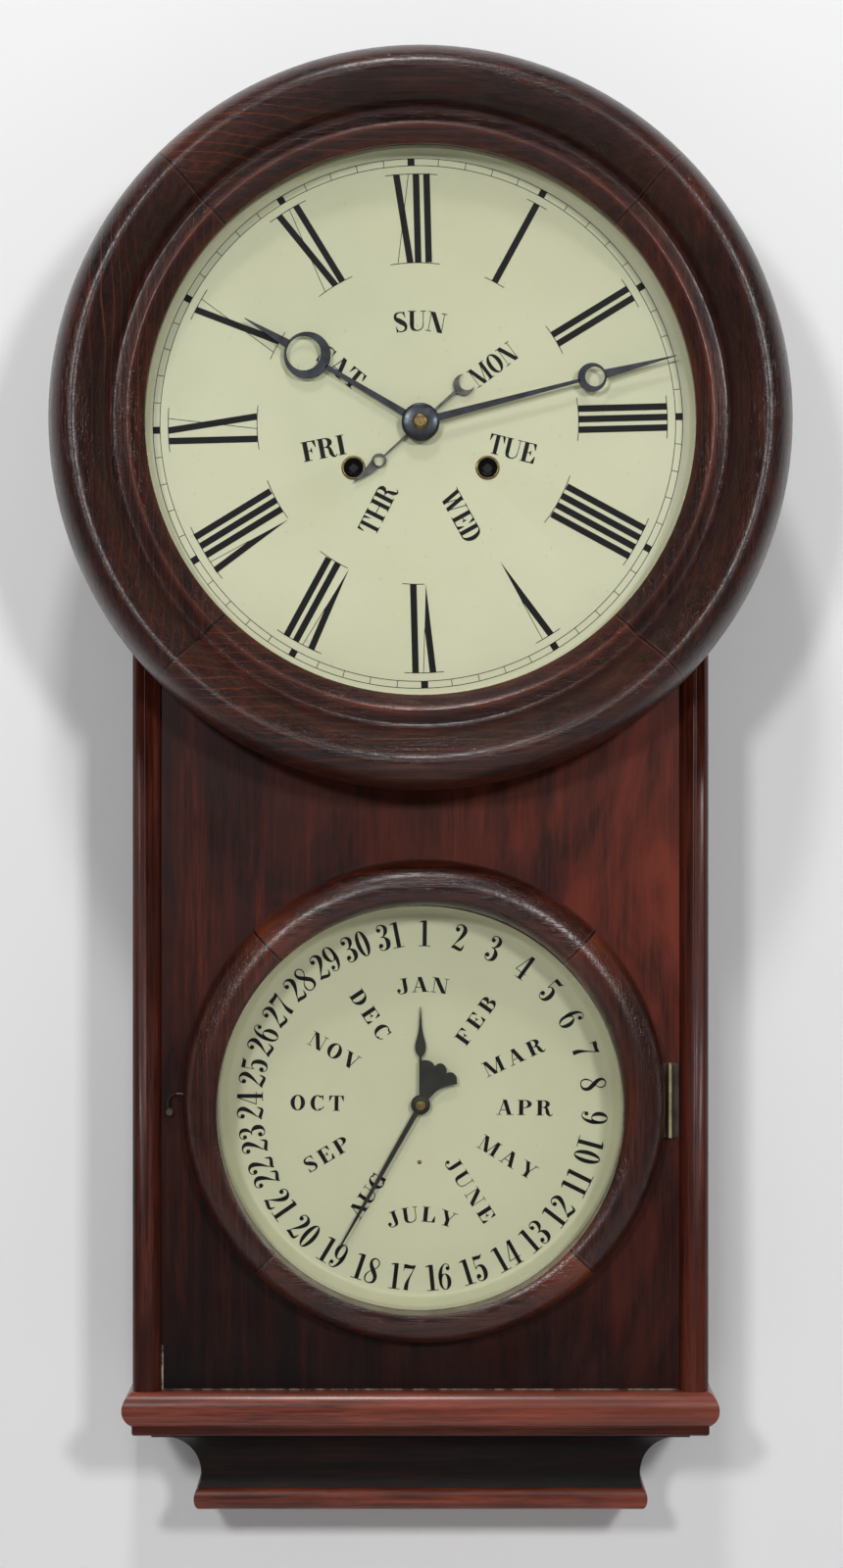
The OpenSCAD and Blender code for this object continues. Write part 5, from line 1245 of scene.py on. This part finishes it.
class Stage(PieceOperator, bpy.types.Operator):
    """Sets the pale wall and floor, the soft lights and the camera"""

    bl_idname = "clock.stage"
    bl_label = "Stage"

    def execute(self, context):
        pick()
        bpy.ops.mesh.primitive_plane_add(size=1, location=WALL)
        wall = named("studio_wall")
        edit()
        bpy.ops.transform.resize(value=(9, 1, 1))
        bpy.ops.transform.rotate(value=math.radians(90), orient_axis="X", center_override=WALL)
        bpy.ops.transform.resize(value=(1, 1, 5))
        bpy.ops.mesh.flip_normals()
        leave()
        pick()
        bpy.ops.mesh.primitive_plane_add(size=9, location=FLOOR)
        floor = named("studio_floor")
        for piece, plain in ((wall, (232, 232, 233)), (floor, (226, 226, 226))):
            w = Finish(piece.name + "_paint")
            cloud = w.noise(0.8, 2)
            base = w.ramp(cloud, [(0.3, srgb(*plain)), (0.7, srgb(*(c - 4 for c in plain)))])
            w.finish(base_color=base, roughness=0.9)
            if piece is wall:
                back = w.put("ShaderNodeNewGeometry").outputs["Backfacing"]
                clear = w.put("ShaderNodeBsdfTransparent")
                w.blend(back, w.shader, clear.outputs[0])
            piece.data.materials.append(w.mat)
        world = bpy.data.worlds.new("studio")
        world.use_nodes = True
        sky = world.node_tree.nodes["Background"]
        sky.inputs["Color"].default_value = (1, 1, 1, 1)
        sky.inputs["Strength"].default_value = DAYLIGHT
        bpy.context.scene.world = world
        bpy.context.scene.view_settings.view_transform = "Standard"
        for name, place, aim, size, power in (
                ("key_softbox", (0.9, -2.5, 0.45), (0.0, 0, -0.35), 0.28, 24),
                ("fill_softbox", (-0.8, -2.6, 0.5), (0.0, 0, -0.3), 0.28, 23),
                ("top_softbox", (-0.1, -1.15, 1.35), (0.0, -0.05, -0.3), 0.2, 15)):
            light = bpy.data.lights.new(name, "AREA")
            light.size = size
            light.energy = power
            lamp = bpy.data.objects.new(name, light)
            bpy.context.scene.collection.objects.link(lamp)
            lamp.location = place
            lamp.rotation_euler = (Vector(aim) - Vector(place)).to_track_quat("-Z", "Y").to_euler()
        cam = bpy.data.cameras.new("camera")
        cam.sensor_fit = "VERTICAL"
        cam.sensor_height = 36
        cam.lens = LENS
        cam.clip_start = 0.05
        camera = bpy.data.objects.new("camera", cam)
        bpy.context.scene.collection.objects.link(camera)
        camera.location = EYE
        camera.rotation_euler = (math.radians(90), 0, 0)
        bpy.context.scene.camera = camera
        return {"FINISHED"}


class CLOCK_PT_pieces(bpy.types.Panel):
    """Lists the clock's pieces in the sidebar"""

    bl_label = "Calendar Clock"
    bl_idname = "CLOCK_PT_pieces"
    bl_space_type = "VIEW_3D"
    bl_region_type = "UI"
    bl_category = "Calendar Clock"

    def draw(self, context):
        column = self.layout.column(align=True)
        for name in ClockSettings.__annotations__:
            column.prop(context.scene.calendar_clock, name)
        column.separator()
        for op in OPERATORS:
            column.operator(op.bl_idname)


OPERATORS = (HeadRing, CalendarRing, CaseWood, GlueLine, Dials, TimePrint, CalendarPrint, TimeHands,
             CalendarHands, Glazing, Fittings, Works, Stage)


def register():
    for cls in (ClockSettings, *OPERATORS, CLOCK_PT_pieces):
        bpy.utils.register_class(cls)
    bpy.types.Scene.calendar_clock = bpy.props.PointerProperty(type=ClockSettings)


def unregister():
    del bpy.types.Scene.calendar_clock
    for cls in reversed((ClockSettings, *OPERATORS, CLOCK_PT_pieces)):
        bpy.utils.unregister_class(cls)


def main():
    register()
    for op in OPERATORS:
        group, name = op.bl_idname.split(".")
        getattr(getattr(bpy.ops, group), name)()


if __name__ == "__main__":
    main()
